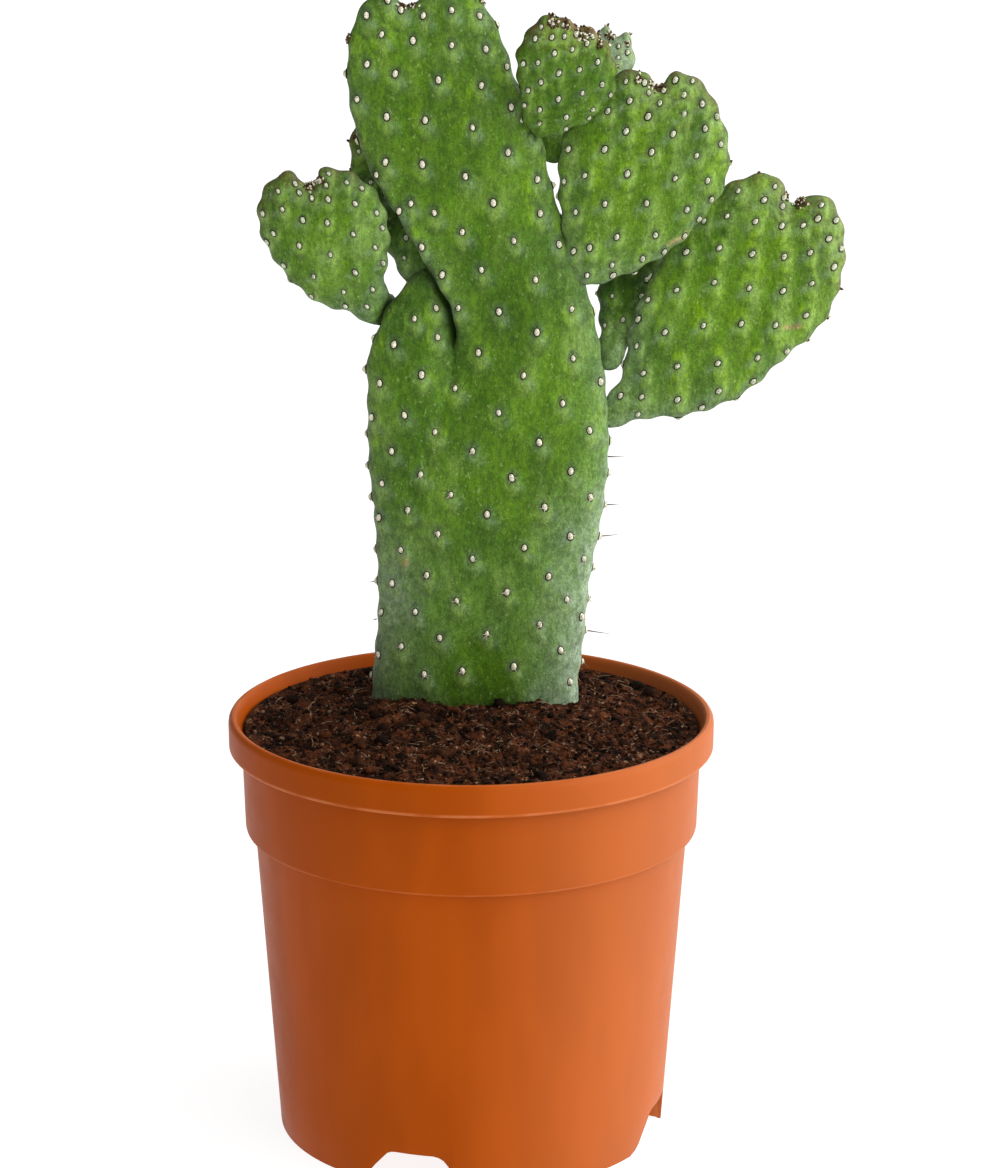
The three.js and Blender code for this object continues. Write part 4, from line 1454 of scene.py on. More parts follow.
        self.main = Flat(Margin(self.outline, -2), self._thick, self._middle,
                         self.shoulders[0], fineness=0.88, buried=self.span[0] + 1, bend=lip,
                         **shared)

        def tuck(face: Face, flat: np.ndarray, depth: np.ndarray) -> np.ndarray:
            """Sinks the low lobe's front where the main body's edge laps over it."""
            if face is Face.BACK:
                return np.zeros(len(flat))
            x, z = flat[:, 0], flat[:, 1]
            near = smooth(self.main.depth_in(flat), -3.0, 0.5)
            side = smooth(x, -20, -4) * smooth(z, 222, 240) * np.exp(-depth / 7)
            return (self.sunk[0] * near * smooth(z, 274, 287)
                    + self.sunk[1] * side * smooth(z, 290, 276))

        self.lobe = Flat(
            Margin(self.lobe_outline, -2),
            lambda z: self._thick(z) * (1 - self.lobe_thinner * smooth(z, *self.lobe_span)),
            lambda z: self._middle(z) + self.lobe_back * smooth(z, *self.lobe_span),
            self.shoulders[1], bend=tuck, **shared)
        for body, other in ((self.main, self.lobe), (self.lobe, self.main)):
            body.keep_rims(body.rim_arcs[other.depth_in(body.rim) < 0.5])

    def _dress(self, face: Face, flat: np.ndarray, depth: np.ndarray
               ) -> dict[str, np.ndarray]:
        """Marks bloom, partly painted sheen on the right, painted shade, a darker foot and scars
        on the stem.

        Args:
            face: Which broad face.
            flat: Points across and along.
            depth: Their depth inside the margin.

        Returns:
            The marks by name.
        """
        x, z = flat[:, 0], flat[:, 1]
        low = smooth(z, 236, 152)
        edge = np.exp(-depth / 4.5)
        right = smooth(x, 6, 40)
        side = smooth(x, 16, 36) * smooth(z, 240, 205)
        # Bloom grows towards the right side and along the right edge: partly real wax, partly a
        # painted sheen where the light from the right grazes.
        bloom = (0.1 * low + 0.34 * blot(flat, *self.grey) + 0.26 * side
                 - 0.2 * blot(flat, *self.green)
                 + edge * (0.1 + 0.24 * low + 0.5 * right * smooth(z, 330, 200)))
        # Painted shade in the fork, where the main body's edge laps over the low lobe.
        gap = np.abs(self.main.depth_in(flat)) / (0.5 + 0.65 * smooth(z, 278, 300))
        fork = np.exp(-gap**2) * smooth(z, 275, 287) * smooth(z, 345, 330) * smooth(x, 6, 0)
        # Darker towards the foot, and painted shadow along the line where the small paddle touches
        # the stem.
        low_dark_and_contact_shade = smooth(z, 198, 158) * 0.34 + smooth(z, 163, 149) * 0.55
        seen = 1.0 if face is Face.FRONT else 0.0
        low_dark_and_contact_shade = low_dark_and_contact_shade + 0.75 * seen * np.exp(-((off_line(flat, *self.touched) / 1.5) ** 2))
        # Painted shade along the margin, weaker on the lit right side.
        margin_band = 0.8 * np.exp(-depth / 0.9) * (1 - 0.75 * right)
        return {"bloom": np.clip(bloom, 0, 0.85), "painted_shade": np.clip(fork + low_dark_and_contact_shade + margin_band, 0, 1),
                "crown": np.zeros(len(x)), "scar": blot(flat, *self.cork) * seen}

    def seats(self) -> list[Seat]:
        """Finds the areoles of both bodies, without those hidden in the other or in a neck.

        Returns:
            The seats.
        """

        def shown(body: Flat, other: Flat) -> list[Seat]:
            """The seats of one body that the other one does not cover."""
            kept = []
            for k, group in enumerate(body.seats(as_is, as_is)):
                spots = np.array([(s.at[0], s.at[2]) for s in group])
                depth = other.depth_in(spots)
                for face in Face:
                    skin = other.raised(face, spots)[:, 1] * face.value
                    kept += [s for s, d, y in zip(group, depth, skin)
                             if np.sign(s.out[1] + 1e-9) == face.value
                             and (d < 0.3 or (k == 0 and s.at[1] * face.value > y))]
            return kept

        foot = self.lobe_outline[0][1]
        seats = shown(self.main, self.lobe)
        seats += [s for s in shown(self.lobe, self.main) if s.at[2] > foot]
        return [replace(s, size=self.areole_size) for s in seats
                if all(np.linalg.norm(s.at - neck) > self.neck_clear for neck in self.necks)
                and np.linalg.norm(s.at[[0, 2]] - self.lapped) > 1.5]

    def build(self) -> list[bpy.types.Object]:
        """Builds skin, areoles, spines and tufts.

        Returns:
            The pieces.
        """
        plant = self.plant
        skins = [stand_for(body.skin(name, plant.finishes.stem, self._dress, plant.in_frame),
                           "trunk", Slot.STEM)
                 for body, name in ((self.main, "stem_skin"), (self.lobe, "stem_lobe_skin"))]
        seats = self.seats()
        return [*skins, *plant.areoles("stem", "trunk", Slot.STEM, seats, seed=11),
                self._spines(seats), self._tufts(skins[0])]

    def _spines(self, seats: list[Seat]) -> bpy.types.Object:
        """Grows the longer fine spines and, low on the stem, small stars of short ones."""
        draw = random.Random(23)
        grown: list[Seat] = []
        short: list[Seat] = []
        places = np.array([seat.at for seat in seats])
        up_way = np.array([0.1, 0.1, 1.0])
        for x, z, across, up in self.spines:
            gap = np.hypot(places[:, 0] - x, places[:, 2] - z) + 0.05 * places[:, 1]
            root = places[int(np.argmin(gap))]
            if abs(root[0] - x) > 3.0 or abs(root[2] - z) > 3.0:
                root = np.array([x, float(self._middle(np.array(z))), z])
            lean = np.array([across, -0.5, up])
            length = float(np.linalg.norm(lean))
            grown.append(Seat(root, lean / length, up_way, self.spine_girth,
                              length / self.spine_girth))
        for seat in seats:
            if seat.at[2] > self.spines_below or draw.random() < 0.35:
                continue
            across, up, out = seat.axes()
            for _ in range(draw.randrange(2, 5)):
                a = draw.uniform(0, 2 * math.pi)
                lean = direction(across * math.cos(a) + up * (math.sin(a) - 0.5) + out * 0.45)
                short.append(Seat(seat.at + out * 0.3, lean, up_way, self.spine_girth,
                                  draw.uniform(0.9, 1.7)))
        finishes, spine = self.plant.finishes, self.plant.patterns.spine
        piece = spine.copies("stem_spines", grown + short, self.plant.origin,
                             [finishes.thorn, finishes.spine])
        per = len(spine.sides)
        piece.data.polygons.foreach_set(
            "material_index", [0] * (per * len(grown)) + [1] * (per * len(short)))
        return stand_for(piece, "trunk", Slot.STEM)

    def _tufts(self, skin: bpy.types.Object) -> bpy.types.Object:
        """Packs the tip's tuft and the two dried buds at the top edges."""
        margin = self.main.margin
        x_way, y_way, z_way = np.eye(3)
        tufts = [(np.array(self.tip_at), z_way, x_way, (6.0, 3.4), 60)]
        for bud in self.buds:
            k = int(np.argmin(np.sum((margin.ring - bud) ** 2, 1)))
            (x, z), (a, c) = margin.ring[k], margin.normals[k]
            tufts.append((np.array([x + a * 0.5, self.tip_at[1], z + c * 0.5]),
                          np.array([a, 0, c]), y_way, (2.2, 1.9), 34))
        return self.plant.tuft("stem_tufts", "trunk", Slot.STEM, tufts, seed=5, skin=skin)


@dataclass(frozen=True)
class PaddleForm:
    """Where one paddle grows, how it leans, and its outline across and along its axis.

    Base is in the plant's mm; lean, back and twist are degrees about depth, width and its own
    axis. It steps back behind the stem and bows by the given mm. Seam is how deep the foot is
    sunk behind the low lobe's edge, shaded the stretch that a paddle in front darkens, and
    pale the bloom of its upper half. A tip is a tuft's place and its half width.
    """

    node: str
    base: Triple
    lean: float
    back: float
    twist: float
    step_back: float
    bow: float
    thick: float
    shoulder: float
    pitch: Pair
    edge: float
    outline: tuple[Pair, ...]
    crown: float = 0.45
    bloom: float = 0.3
    hollow: float = 0.06
    areoles: tuple[Pair, ...] = ()
    tips: tuple[Triple, ...] = ()
    seam: float = 0.0
    shaded: Pair | None = None
    pale: float = 0.0
    ridge: float = 1.0
    scar: tuple[Pair, Pair] | None = None

    @property
    def height(self) -> float:
        """How far the outline reaches along the axis."""
        return max(along for _, along in self.outline)

    @property
    def step(self) -> float:
        """How far one areole lies from the next."""
        return math.hypot(self.pitch[0], self.pitch[1] / 2)


PADDLE_FORMS = (
    PaddleForm(
        "pad_left", base=(-30.4, 12.5, 289.6), lean=-27.3, back=-6, twist=-4, step_back=0, bow=-2,
        thick=13, shoulder=15, pitch=(6.8, 13.6), edge=9.5, seam=9.0,
        tips=((0.4, 53.2, 3.2), (4.6, 53.8, 1.0)),
        outline=(
            (-2, -5), (-11, 7), (-16.5, 11.7), (-20.5, 19), (-24, 34), (-23, 47), (-16.5, 57),
            (-7, 60.3), (-3, 58.6), (-1, 52.4), (1.8, 52.4), (5, 55.6), (12.5, 51.8), (16.5, 46),
            (19, 37), (15, 23), (6, 9), (4, -5)),
        areoles=(
            (8, 53.5), (-3, 55.5), (-10, 56), (-4, 52), (-1, 48.5), (5.5, 50.5), (4, 46), (12, 48),
            (17, 44.5), (11.5, 40.5), (-11.5, 50), (-7, 43.5), (0, 39), (16, 34), (-18.5, 51),
            (-18.5, 43.5), (6, 31.5), (-12.5, 36), (-24, 41.5), (-4.5, 28.5), (10, 23.5),
            (-21.5, 31.5), (-13.5, 24), (0, 19), (-7, 14.5), (2, 10.5), (-18, 17.5), (-9.5, 9),
            (-2.5, 6), (10, 16.5), (17, 27.5))),
    PaddleForm(
        "pad_back_left", base=(-17, 18, 302.8), lean=-19.5, back=22, twist=0, step_back=3, bow=0,
        thick=11, shoulder=10, pitch=(7, 14), edge=10, shaded=(12, 44),
        tips=((-4.3, 54.5, 2.3), (3, 55, 2.5)),
        outline=(
            (-4, -6), (-8, 10), (-10, 23), (-11, 37), (-9, 50), (-4, 58), (1, 55), (7, 55),
            (12, 46), (14, 32), (13, 19), (9, 8), (4, -6)),
        areoles=(
            (-6.5, 48), (-1, 13.5), (-4, 7), (3, 21), (9, 27), (-2, 28), (5, 34), (-6, 36),
            (11, 38), (1, 42), (7, 47), (-1, 51))),
    PaddleForm(
        "pad_top_small", base=(24.7, 9, 351.3), lean=12.6, back=-14, twist=4, step_back=-2.5,
        bow=-1, thick=13, shoulder=12, pitch=(5.8, 11.6), edge=8.5, crown=0.75, bloom=0.05,
        hollow=0.085, tips=((-7.5, 44, 1.9), (-3, 43.8, 1.3), (3, 42.2, 2.7), (9.5, 39.8, 1.3)),
        outline=(
            (-2.2, -0.4), (-5.6, 1.2), (-8, 4), (-10, 8.3), (-12.9, 16), (-15, 22), (-16.5, 29),
            (-14.5, 37), (-11.5, 42.2), (-7, 44), (-3, 43.6), (1, 42), (6, 42), (13, 37), (18, 29),
            (18.7, 20), (15.6, 13), (11.6, 7.2), (7.2, 4.4), (4.4, 1.6), (1.2, 0)),
        areoles=(
            (-12, 41), (-7.5, 42), (-4, 42.5), (-12, 36), (-7, 38), (-3, 39), (1, 40.5),
            (0.5, 35.5), (5, 38), (-5, 33), (-9.5, 28.5), (-14, 26.5), (-2, 26.5), (4.5, 29),
            (10, 32.5), (-7, 22), (13.5, 25), (-10.5, 17.5), (0, 17.5), (7.5, 21), (17.5, 21),
            (-5, 12), (12.5, 15.5), (4.5, 11), (-3.5, 6.5), (-10.5, 11.5), (13, 11), (6, 5.5),
            (6.5, 40.5))),
    PaddleForm(
        "pad_top_back", base=(27.3, 18.3, 345.5), lean=25.5, back=25, twist=0, step_back=4, bow=2,
        thick=10, shoulder=10, pitch=(6.6, 13), edge=9.5, crown=0.3, bloom=0.06, pale=0.6,
        tips=((0.5, 48.6, 1.9), (-4, 47.6, 1.2), (7.5, 48.6, 0.9)),
        outline=(
            (-3, -3.5), (-7, 5), (-10, 15), (-10, 27), (-7, 41), (-2, 50), (1.5, 48.5), (5, 51),
            (9.5, 47), (13, 39), (15, 28), (11, 15), (6, 6), (3.5, -3.5)),
        areoles=(
            (5, 44), (8.5, 43.5), (6.5, 40), (-4, 43), (0, 36), (8, 34), (11, 29), (-6, 30),
            (3, 27), (8, 22), (-3, 20), (4, 14))),
    PaddleForm(
        "pad_upper_right", base=(38.6, 12.5, 299.4), lean=18.1, back=1, twist=3, step_back=0,
        bow=1, thick=14, shoulder=18, pitch=(9, 17), edge=10.5, ridge=1.25,
        scar=((23, 23), (27.5, 28.5)), tips=((1.6, 73.8, 4.3), (-5.2, 75, 1.3)),
        outline=(
            (-2.5, 0.8), (-8, 6), (-15, 20), (-20, 32), (-23, 46), (-21, 59), (-16, 68),
            (-8, 75.5), (-3, 75.8), (1.6, 72.6), (7, 79.5), (17, 78), (25, 71), (32, 61), (35, 48),
            (32, 36), (26, 23), (19, 14.5), (13.5, 9), (8, 5), (3, 1.2)),
        areoles=(
            (-9, 71), (-3, 72.5), (-0.5, 70), (4, 72.5), (-6, 65.5), (4, 68), (7, 76.5),
            (12.5, 78), (11, 73), (18, 72), (13, 67), (1.5, 62.5), (-4, 55.5), (-12, 60),
            (11.5, 59.5), (21.5, 64.5), (24.5, 69.5), (-9, 47.5), (6.5, 51.5), (21.5, 55),
            (28.5, 61), (-20.5, 43.5), (-12.5, 37), (1, 42), (17, 45.5), (28, 48), (-20, 32),
            (-3, 30), (10.5, 34.5), (24.5, 36.5), (32, 42), (-11.5, 24), (31, 34), (4.5, 20.5),
            (17, 25), (27, 27.5), (-3, 14), (-7.5, 11), (6.5, 10.5), (16, 15.5), (-0.5, 4.5),
            (8.5, 6.5), (23, 19.5))),
    PaddleForm(
        "pad_narrow_back", base=(47.5, 19, 275), lean=12.4, back=30, twist=0, step_back=5, bow=2,
        thick=11, shoulder=10, pitch=(7, 14), edge=10, shaded=(20, 70), tips=((1, 54, 3.2),),
        outline=(
            (-1, -6), (-5, 10), (-8, 22), (-10, 36), (-8, 49), (-3, 56), (1, 53), (5, 57),
            (10, 53), (14, 40), (14, 27), (10, 13), (6, 2), (4, -5)),
        areoles=(
            (-3, 21), (2.5, 13), (4, 3.5), (-3.5, 10), (7.5, 29.5), (7, 23), (1, 36), (8, 40),
            (-5, 31), (3, 45), (9, 48), (-3, 50), (12, 33))),
    PaddleForm(
        "pad_lower_right", base=(48.9, 16, 254.4), lean=41.1, back=9, twist=4, step_back=0, bow=3,
        thick=15, shoulder=19, pitch=(8.5, 17), edge=10.5, crown=0.5, bloom=0.42, hollow=0.08,
        ridge=1.8, scar=((25, 61.5), (29, 65.5)), tips=((1.4, 98.8, 4.4), (-3.6, 97.6, 1.4)),
        outline=(
            (-4, -5), (-6, 11), (-16, 28), (-20, 41), (-23.5, 60), (-23, 80), (-19.5, 91),
            (-11, 99), (-1, 96), (4, 104), (11, 105), (22, 98), (30, 87), (35, 72), (33, 54),
            (30, 34), (20, 16), (10, 6), (2, -5)),
        areoles=(
            (-18, 86), (-9.5, 89.5), (-9.5, 95.5), (-3, 92.5), (-4, 96), (7, 101.5), (9, 97),
            (-15.5, 77), (-7, 82), (1, 87), (6.5, 92), (14.5, 101), (16.5, 94.5), (-10.5, 67),
            (-0.5, 73), (8.5, 79.5), (14.5, 86.5), (23.5, 96), (-18, 58.5), (-4, 57), (6.5, 63.5),
            (16, 70.5), (22, 79), (24.5, 88.5), (-12, 46.5), (-17, 37.5), (3, 43.5), (12.5, 52.5),
            (22, 60), (28, 69.5), (-5.5, 33), (-9.5, 23), (5.5, 27), (15.5, 37), (25, 47.5),
            (-1.5, 17.5), (13.5, 18.5), (22.5, 30), (3.5, 11), (-2, 6.5), (7, 5.5), (-17, 29.5),
            (31.5, 56), (29.5, 40.5), (-20.5, 70.5), (22, 22))),
)


@dataclass
class Paddle:
    """One paddle joint with its areoles and the tuft at its tip."""

    plant: Plant
    form: PaddleForm
    lobe: Flat
    fan_below: float = 62.0
    areole_sizes: Pair = (0.84, 0.96)

    def _turn(self) -> np.ndarray:
        """The paddle's own axes in the plant, as a matrix for row vectors."""
        back, lean, twist = (math.radians(a) for a in
                             (-self.form.back, self.form.lean, self.form.twist))
        about_x = np.array([[1, 0, 0], [0, math.cos(back), -math.sin(back)],
                            [0, math.sin(back), math.cos(back)]])
        about_y = np.array([[math.cos(lean), 0, math.sin(lean)], [0, 1, 0],
                            [-math.sin(lean), 0, math.cos(lean)]])
        about_z = np.array([[math.cos(twist), -math.sin(twist), 0],
                            [math.sin(twist), math.cos(twist), 0], [0, 0, 1]])
        return (about_x @ about_y @ about_z).T

    def _in_plant(self, spots: np.ndarray) -> np.ndarray:
        """Takes places in the paddle's own mm to the plant's mm."""
        return spots @ self._turn() + np.array(self.form.base)

    def _lattice(self, column: float, row: float) -> np.ndarray:
        """Spaces the back's areoles in columns that fan out from under the neck.

        Args:
            column: Shift across, in columns.
            row: Shift along, in rows.

        Returns:
            The places, one per row.
        """
        wide, tall = self.form.pitch
        spread = wide / (self.fan_below + self.form.height * 0.55)

        def place(i: int, j: float) -> Pair:
            """Place of one areole."""
            reach = self.fan_below + (row + j) * tall
            angle = (i + column) * spread
            return (reach * math.sin(angle), reach * math.cos(angle) - self.fan_below)

        return staggered(place, 9, math.ceil(self.form.height / tall) + 1)

    def _dress(self, face: Face, flat: np.ndarray, depth: np.ndarray
               ) -> dict[str, np.ndarray]:
        """Marks bloom, the reddened crown, and painted shade at the neck, at the seam, under a
        paddle in front and along the margin.

        Args:
            face: Which broad face.
            flat: Points across and along.
            depth: Their depth inside the margin.

        Returns:
            The marks by name.
        """
        form, up = self.form, flat[:, 1]
        s = up / form.height
        edge = np.exp(-depth / 3.0)
        # Painted shade at the neck.
        painted_shade = smooth(up, 7, 0) * 0.25 * (form.pale == 0)
        if form.seam:
            # Painted shade where the low lobe's edge laps over the foot.
            painted_shade = smooth(self._past_seam(flat), -1.6, 0.2) * 0.9
        if form.shaded and face is Face.FRONT:
            # Painted shadow of a paddle in front.
            low, high = form.shaded
            painted_shade = painted_shade + 0.95 * smooth(up, low, low + 9) * smooth(up, high, high - 9)
        bloom = form.bloom * (0.4 * edge + 0.6 * smooth(s, 0.45, 0.05) * np.exp(-depth / 9))
        bloom = bloom + form.pale * smooth(s, 0.45, 0.75)
        crown = form.crown * smooth(s, 0.6, 0.97) * (0.2 + 0.7 * np.exp(-depth / 2.2))
        margin_band = form.crown * np.exp(-depth / 0.7) * 0.22 * smooth(s, 0.15, 0.5)
        # Painted shade along the margin.
        painted_shade = painted_shade + 0.85 * np.exp(-depth / 0.9)
        cork = np.zeros(len(s))
        if form.scar and face is Face.FRONT:
            cork = 0.75 * np.exp(-((off_line(flat, *form.scar) / 0.8) ** 2))
        return {"bloom": np.clip(bloom, 0, 0.8), "painted_shade": np.clip(painted_shade, 0, 1),
                "crown": np.clip(crown + margin_band, 0, 0.85), "scar": cork}

    def _past_seam(self, flat: np.ndarray) -> np.ndarray:
        """How far points of the paddle's plane lie inside the low lobe's outline, in mm."""
        spots = np.column_stack([flat[:, 0], np.zeros(len(flat)), flat[:, 1]])
        return self.lobe.depth_in(self._in_plant(spots)[:, [0, 2]])

    def _sunk(self, face: Face, flat: np.ndarray, depth: np.ndarray) -> np.ndarray:
        """Sinks the foot where the low lobe's edge laps over it."""
        share = smooth(self._past_seam(flat), -3.2, 0.6)
        return self.form.seam * share * (1.0 if face is Face.FRONT else 0.4)

    def build(self) -> list[bpy.types.Object]:
        """Builds skin, areoles and tip tuft.

        Returns:
            The pieces.
        """
        form, height = self.form, self.form.height
        phase = (abs(form.base[0]) % 7) / 7
        body = Flat(
            Margin(form.outline, -1),
            lambda s: form.thick * (0.78 + 0.22 * smooth(s, 0, height * 0.35)),
            lambda s: form.step_back * smooth(s, -2, 17)
            + form.bow * (np.maximum(0, s) / height) ** 2,
            form.shoulder, form.step, form.edge, front=np.array(form.areoles),
            behind=self._lattice(0.5 - phase, 0.6 - phase * 0.3), fineness=0.72,
            hollow=form.hollow, buried=-4.0, bend=self._sunk if form.seam else None,
            ridge=(form.ridge, math.radians(form.lean)))
        turn = self._turn()
        skin = body.skin(f"{form.node}_skin", self.plant.finishes.paddle, self._dress,
                         lambda spots: self.plant.in_frame(self._in_plant(spots)))
        stand_for(skin, form.node, Slot.PADDLE)
        size = self.areole_sizes[form.step >= 10]

        def up(seat: Seat) -> float:
            """How far along the paddle's axis a seat lies."""
            return float(((seat.at - form.base) @ turn.T)[2])

        groups = body.seats(self._in_plant, lambda ways: ways @ turn)
        faces, rims = ([replace(s, size=size) for s in group if up(s) > 4] for group in groups)
        buds = [s for s in rims if up(s) > height * 0.55]
        seats = faces + [s for s in rims if up(s) <= height * 0.55]
        small = self.plant.areoles(form.node, form.node, Slot.PADDLE, seats, seed=31,
                                   bristle=0.6)
        return [skin, *small, self._tuft(body, buds, skin)]

    def _tuft(self, body: Flat, buds: list[Seat], skin: bpy.types.Object) -> bpy.types.Object:
        """Packs the dip between the two shoulders of the tip, and the buds on the margin.

        Args:
            body: The paddle's body.
            buds: Where small dried buds sit on the margin.
            skin: The paddle's skin.

        Returns:
            The piece.
        """
        form = self.form
        across, _, out = turn = self._turn()
        tufts = []
        for v, along, wide in form.tips:
            middle = float(body.middle(np.array([float(along)]))[0])
            at = self._in_plant(np.array([[v, middle, along - 0.6]]))[0]
            tufts.append((at, out, across, (wide, form.thick * 0.3), int(3 + wide * wide * 3)))
            low = body.raised(Face.FRONT, np.array([[v, along - 1.7]]))
            front = np.array([0, -0.8, 0.6]) @ turn
            tufts.append((self._in_plant(low)[0], front, across,
                          (wide * 0.95, 1.5 + wide * 0.2), int(5 + wide * 11)))
        tufts += [(bud.at, bud.out, bud.up, (0.5, 0.7), 4) for bud in buds]
        return self.plant.tuft(f"{form.node}_tuft", form.node, Slot.PADDLE, tufts,
                               seed=int(form.height), skin=skin)


# ---------------------------------------------------------------- pot and soil


@dataclass
class Pot:
    """The tapered nursery pot: rolled rim band, stepped collar and notched foot ring.

    All sizes are in mm, as radii and heights over the foot; notch_first is in degrees.
    """

    axis: Vector
    height: float
    rim: float
    finish: bpy.types.Material
    sides: int = 144
    collar_top: float = 80.4
    collar_low: float = 79.5
    collar_at: float = 110.6
    body_top: float = 76.2
    foot: float = 68.5
    wall: float = 1.4
    band_at: float = 140.0
    floor_at: float = 16.0
    floor_thick: float = 1.6
    notch_first: float = -16.6
    notch_left: tuple[Pair, ...] = (
        (-23.0, -1.0), (-21.6, 0.3), (-19.2, 1.2), (-17.2, 2.8), (-14.6, 6.2), (-11.6, 9.6),
        (-9.6, 11.8), (-8.0, 12.5), (-6.6, 12.7))
    notch_right: tuple[Pair, ...] = (
        (7.0, 12.7), (8.8, 12.3), (10.6, 11.2), (12.2, 9.0), (12.9, 6.0), (13.1, 0.6),
        (13.1, -1.0))
    notch_reach: Pair = (46.0, 80.0)
    notches: int = 4
    cheek: Triple = (1.6, 4.8, 11.0)
    cheek_inset: float = 0.6
    cheek_round: float = 0.5
    edge_round: float = 0.3
    drains: int = 6
    drain_ring: float = 46.0
    drain: float = 5.0
    drain_cut: float = 8.0

    def wall_at(self, z: float) -> float:
        """The inner radius of the body wall at a height."""
        return self.foot + (self.body_top - self.foot) / self.collar_at * z - self.wall

    def outer(self) -> list[Pair]:
        """Radius and height from the foot up the outside, over the rim and down inside."""
        top, rim = self.height, self.rim
        slope = (self.body_top - self.foot) / self.collar_at
        return [
            (self.foot + slope * 18, 18.0), (self.foot + slope * 22, 22.0),
            (self.body_top - 0.05, self.collar_at - 0.5), (self.body_top + 0.5, self.collar_at),
            (self.collar_low - 0.8, self.collar_at), (self.collar_low - 0.2, self.collar_at + 0.3),
            (self.collar_low, self.collar_at + 1.1), (self.collar_top, self.band_at),
            (self.collar_top + 0.6, top - 5.4), (rim - 1.7, top - 5.0),
            (rim - 1.7, self.band_at + 0.2), (rim - 1.5, self.band_at - 0.05),
            (rim - 0.5, self.band_at), (rim - 0.1, self.band_at + 0.5), (rim, top - 2.6),
            (rim - 0.15, top - 1.4), (rim - 0.65, top - 0.5), (rim - 1.5, top),
            (rim - 2.5, top - 0.1), (rim - 3.2, top - 0.8), (rim - 3.6, top - 2.0),
            (self.collar_top - 0.2, top - 5.0), (self.collar_top - 1.3, self.band_at),
            (self.collar_low - self.wall, self.collar_at + 2.2),
            (self.body_top - self.wall, self.collar_at - 1.4),
            (self.wall_at(self.floor_at), self.floor_at),
        ]

    def under(self) -> list[Pair]:
        """Radius and height from the foot inward and up to the underside of the floor."""
        low = self.floor_at - self.floor_thick
        return [(self.wall_at(0), 0.0), (self.wall_at(low), low)]

    def _draw(self, start: Pair, stations: list[Pair]) -> None:
        """Extrudes the selected ring through the stations and closes the last one."""
        r, z = start
        for radius, height in stations:
            extrude_edges((height - z) * MM)
            resize((radius / r, radius / r, 1), (self.axis.x, self.axis.y, height * MM))
            r, z = radius, height
        bpy.ops.mesh.edge_face_add()

    def _notch_angles(self) -> list[float]:
        """Where the foot's notches lie round the axis, in radians."""
        return [math.radians(self.notch_first + 360 / self.notches * k)
                for k in range(self.notches)]

    def _cutters(self) -> list[bpy.types.Object]:
        """Models the foot's notches and the drain holes as cutting bodies."""
        cutters = []
        shape = self.notch_left + self.notch_right
        near, far = self.notch_reach
        for angle in self._notch_angles():
            deselect()
            bpy.ops.mesh.primitive_circle_add(vertices=len(shape), radius=1, fill_type="NGON")
            piece = bpy.context.object
            move_to(piece, np.array([(x, -near, z) for x, z in shape]) * MM)
            with editing(piece):
                bpy.ops.mesh.extrude_region_move(
                    TRANSFORM_OT_translate={"value": (0, (near - far) * MM, 0)})
                face_outward()
            move_to(piece, swung(places_of(piece), angle) + np.array(self.axis))
            cutters.append(piece)
        for k in range(self.drains):
            a = math.radians(360 / self.drains * (k + 0.5))
            deselect()
            bpy.ops.mesh.primitive_cylinder_add(
                vertices=24, radius=self.drain * MM, depth=self.drain_cut * MM,
                location=(self.axis.x + self.drain_ring * math.sin(a) * MM,
                          self.drain_ring * math.cos(a) * MM,
                          (self.floor_at - self.floor_thick / 2) * MM))
            cutters.append(bpy.context.object)
        return cutters

    def _cheeks(self) -> list[bpy.types.Object]:
        """Models the short inward wall that stiffens the steep side of each notch."""
        wide, deep, tall = self.cheek
        side = self.notch_right[-1][0] + wide / 2
        out = self.foot - self.cheek_inset - deep / 2
        walls = []
        for notch in self._notch_angles():
            angle = notch + math.asin(side / self.foot)
            deselect()
            bpy.ops.mesh.primitive_cube_add(size=1)
            piece = bpy.context.object
            with editing(piece):
                choose(lambda p: p.z < 0 and p.y > 0)
                bpy.ops.transform.translate(value=(0, -0.2, 0.06))
            box = places_of(piece) * (wide, deep, tall) + (0, -out, tall / 2 + 0.1)
            move_to(piece, swung(box, angle) * MM + np.array(self.axis))
            apply_modifier(piece, "BEVEL", width=self.cheek_round * MM, segments=2)
            piece.data.materials.append(self.finish)
            walls.append(piece)
        return walls

    def build(self) -> bpy.types.Object:
        """Models the pot as one moulding.

        Returns:
            The object.
        """
        deselect()
        bpy.ops.mesh.primitive_circle_add(vertices=self.sides, radius=self.foot * MM,
                                          location=(self.axis.x, self.axis.y, 0))
        piece = bpy.context.object
        with editing(piece):
            self._draw((self.foot, 0.0), self.outer())
            choose(lambda p: p.z < 0.1 * MM)
            bpy.ops.mesh.select_mode(type="EDGE")
            self._draw((self.foot, 0.0), self.under())
            face_outward()
        pick(piece)
        bpy.ops.object.transform_apply(location=True)
        for cutter in self._cutters():
            apply_modifier(piece, "BOOLEAN", object=cutter, operation="DIFFERENCE",
                           solver="EXACT")
            discard(cutter)
        piece.data.materials.clear()
        piece.data.materials.append(self.finish)
        apply_modifier(piece, "BEVEL", width=self.edge_round * MM, segments=2,
                       limit_method="ANGLE", angle_limit=math.radians(38))
        walls = self._cheeks()
        pick(piece)
        for wall in walls:
            wall.select_set(True)
        bpy.ops.object.join()
        return stand_for(settle(piece, "pot_moulding", 32.0), "pot", Slot.POT)


@dataclass(frozen=True)
class Litter:
    """One kind of loose bit on the bed; sizes and clear in mm, flat is height to width."""

    name: str
    count: int
    sizes: Pair
    flat: Pair
    clear: float
    tone: Pair
    seed: int


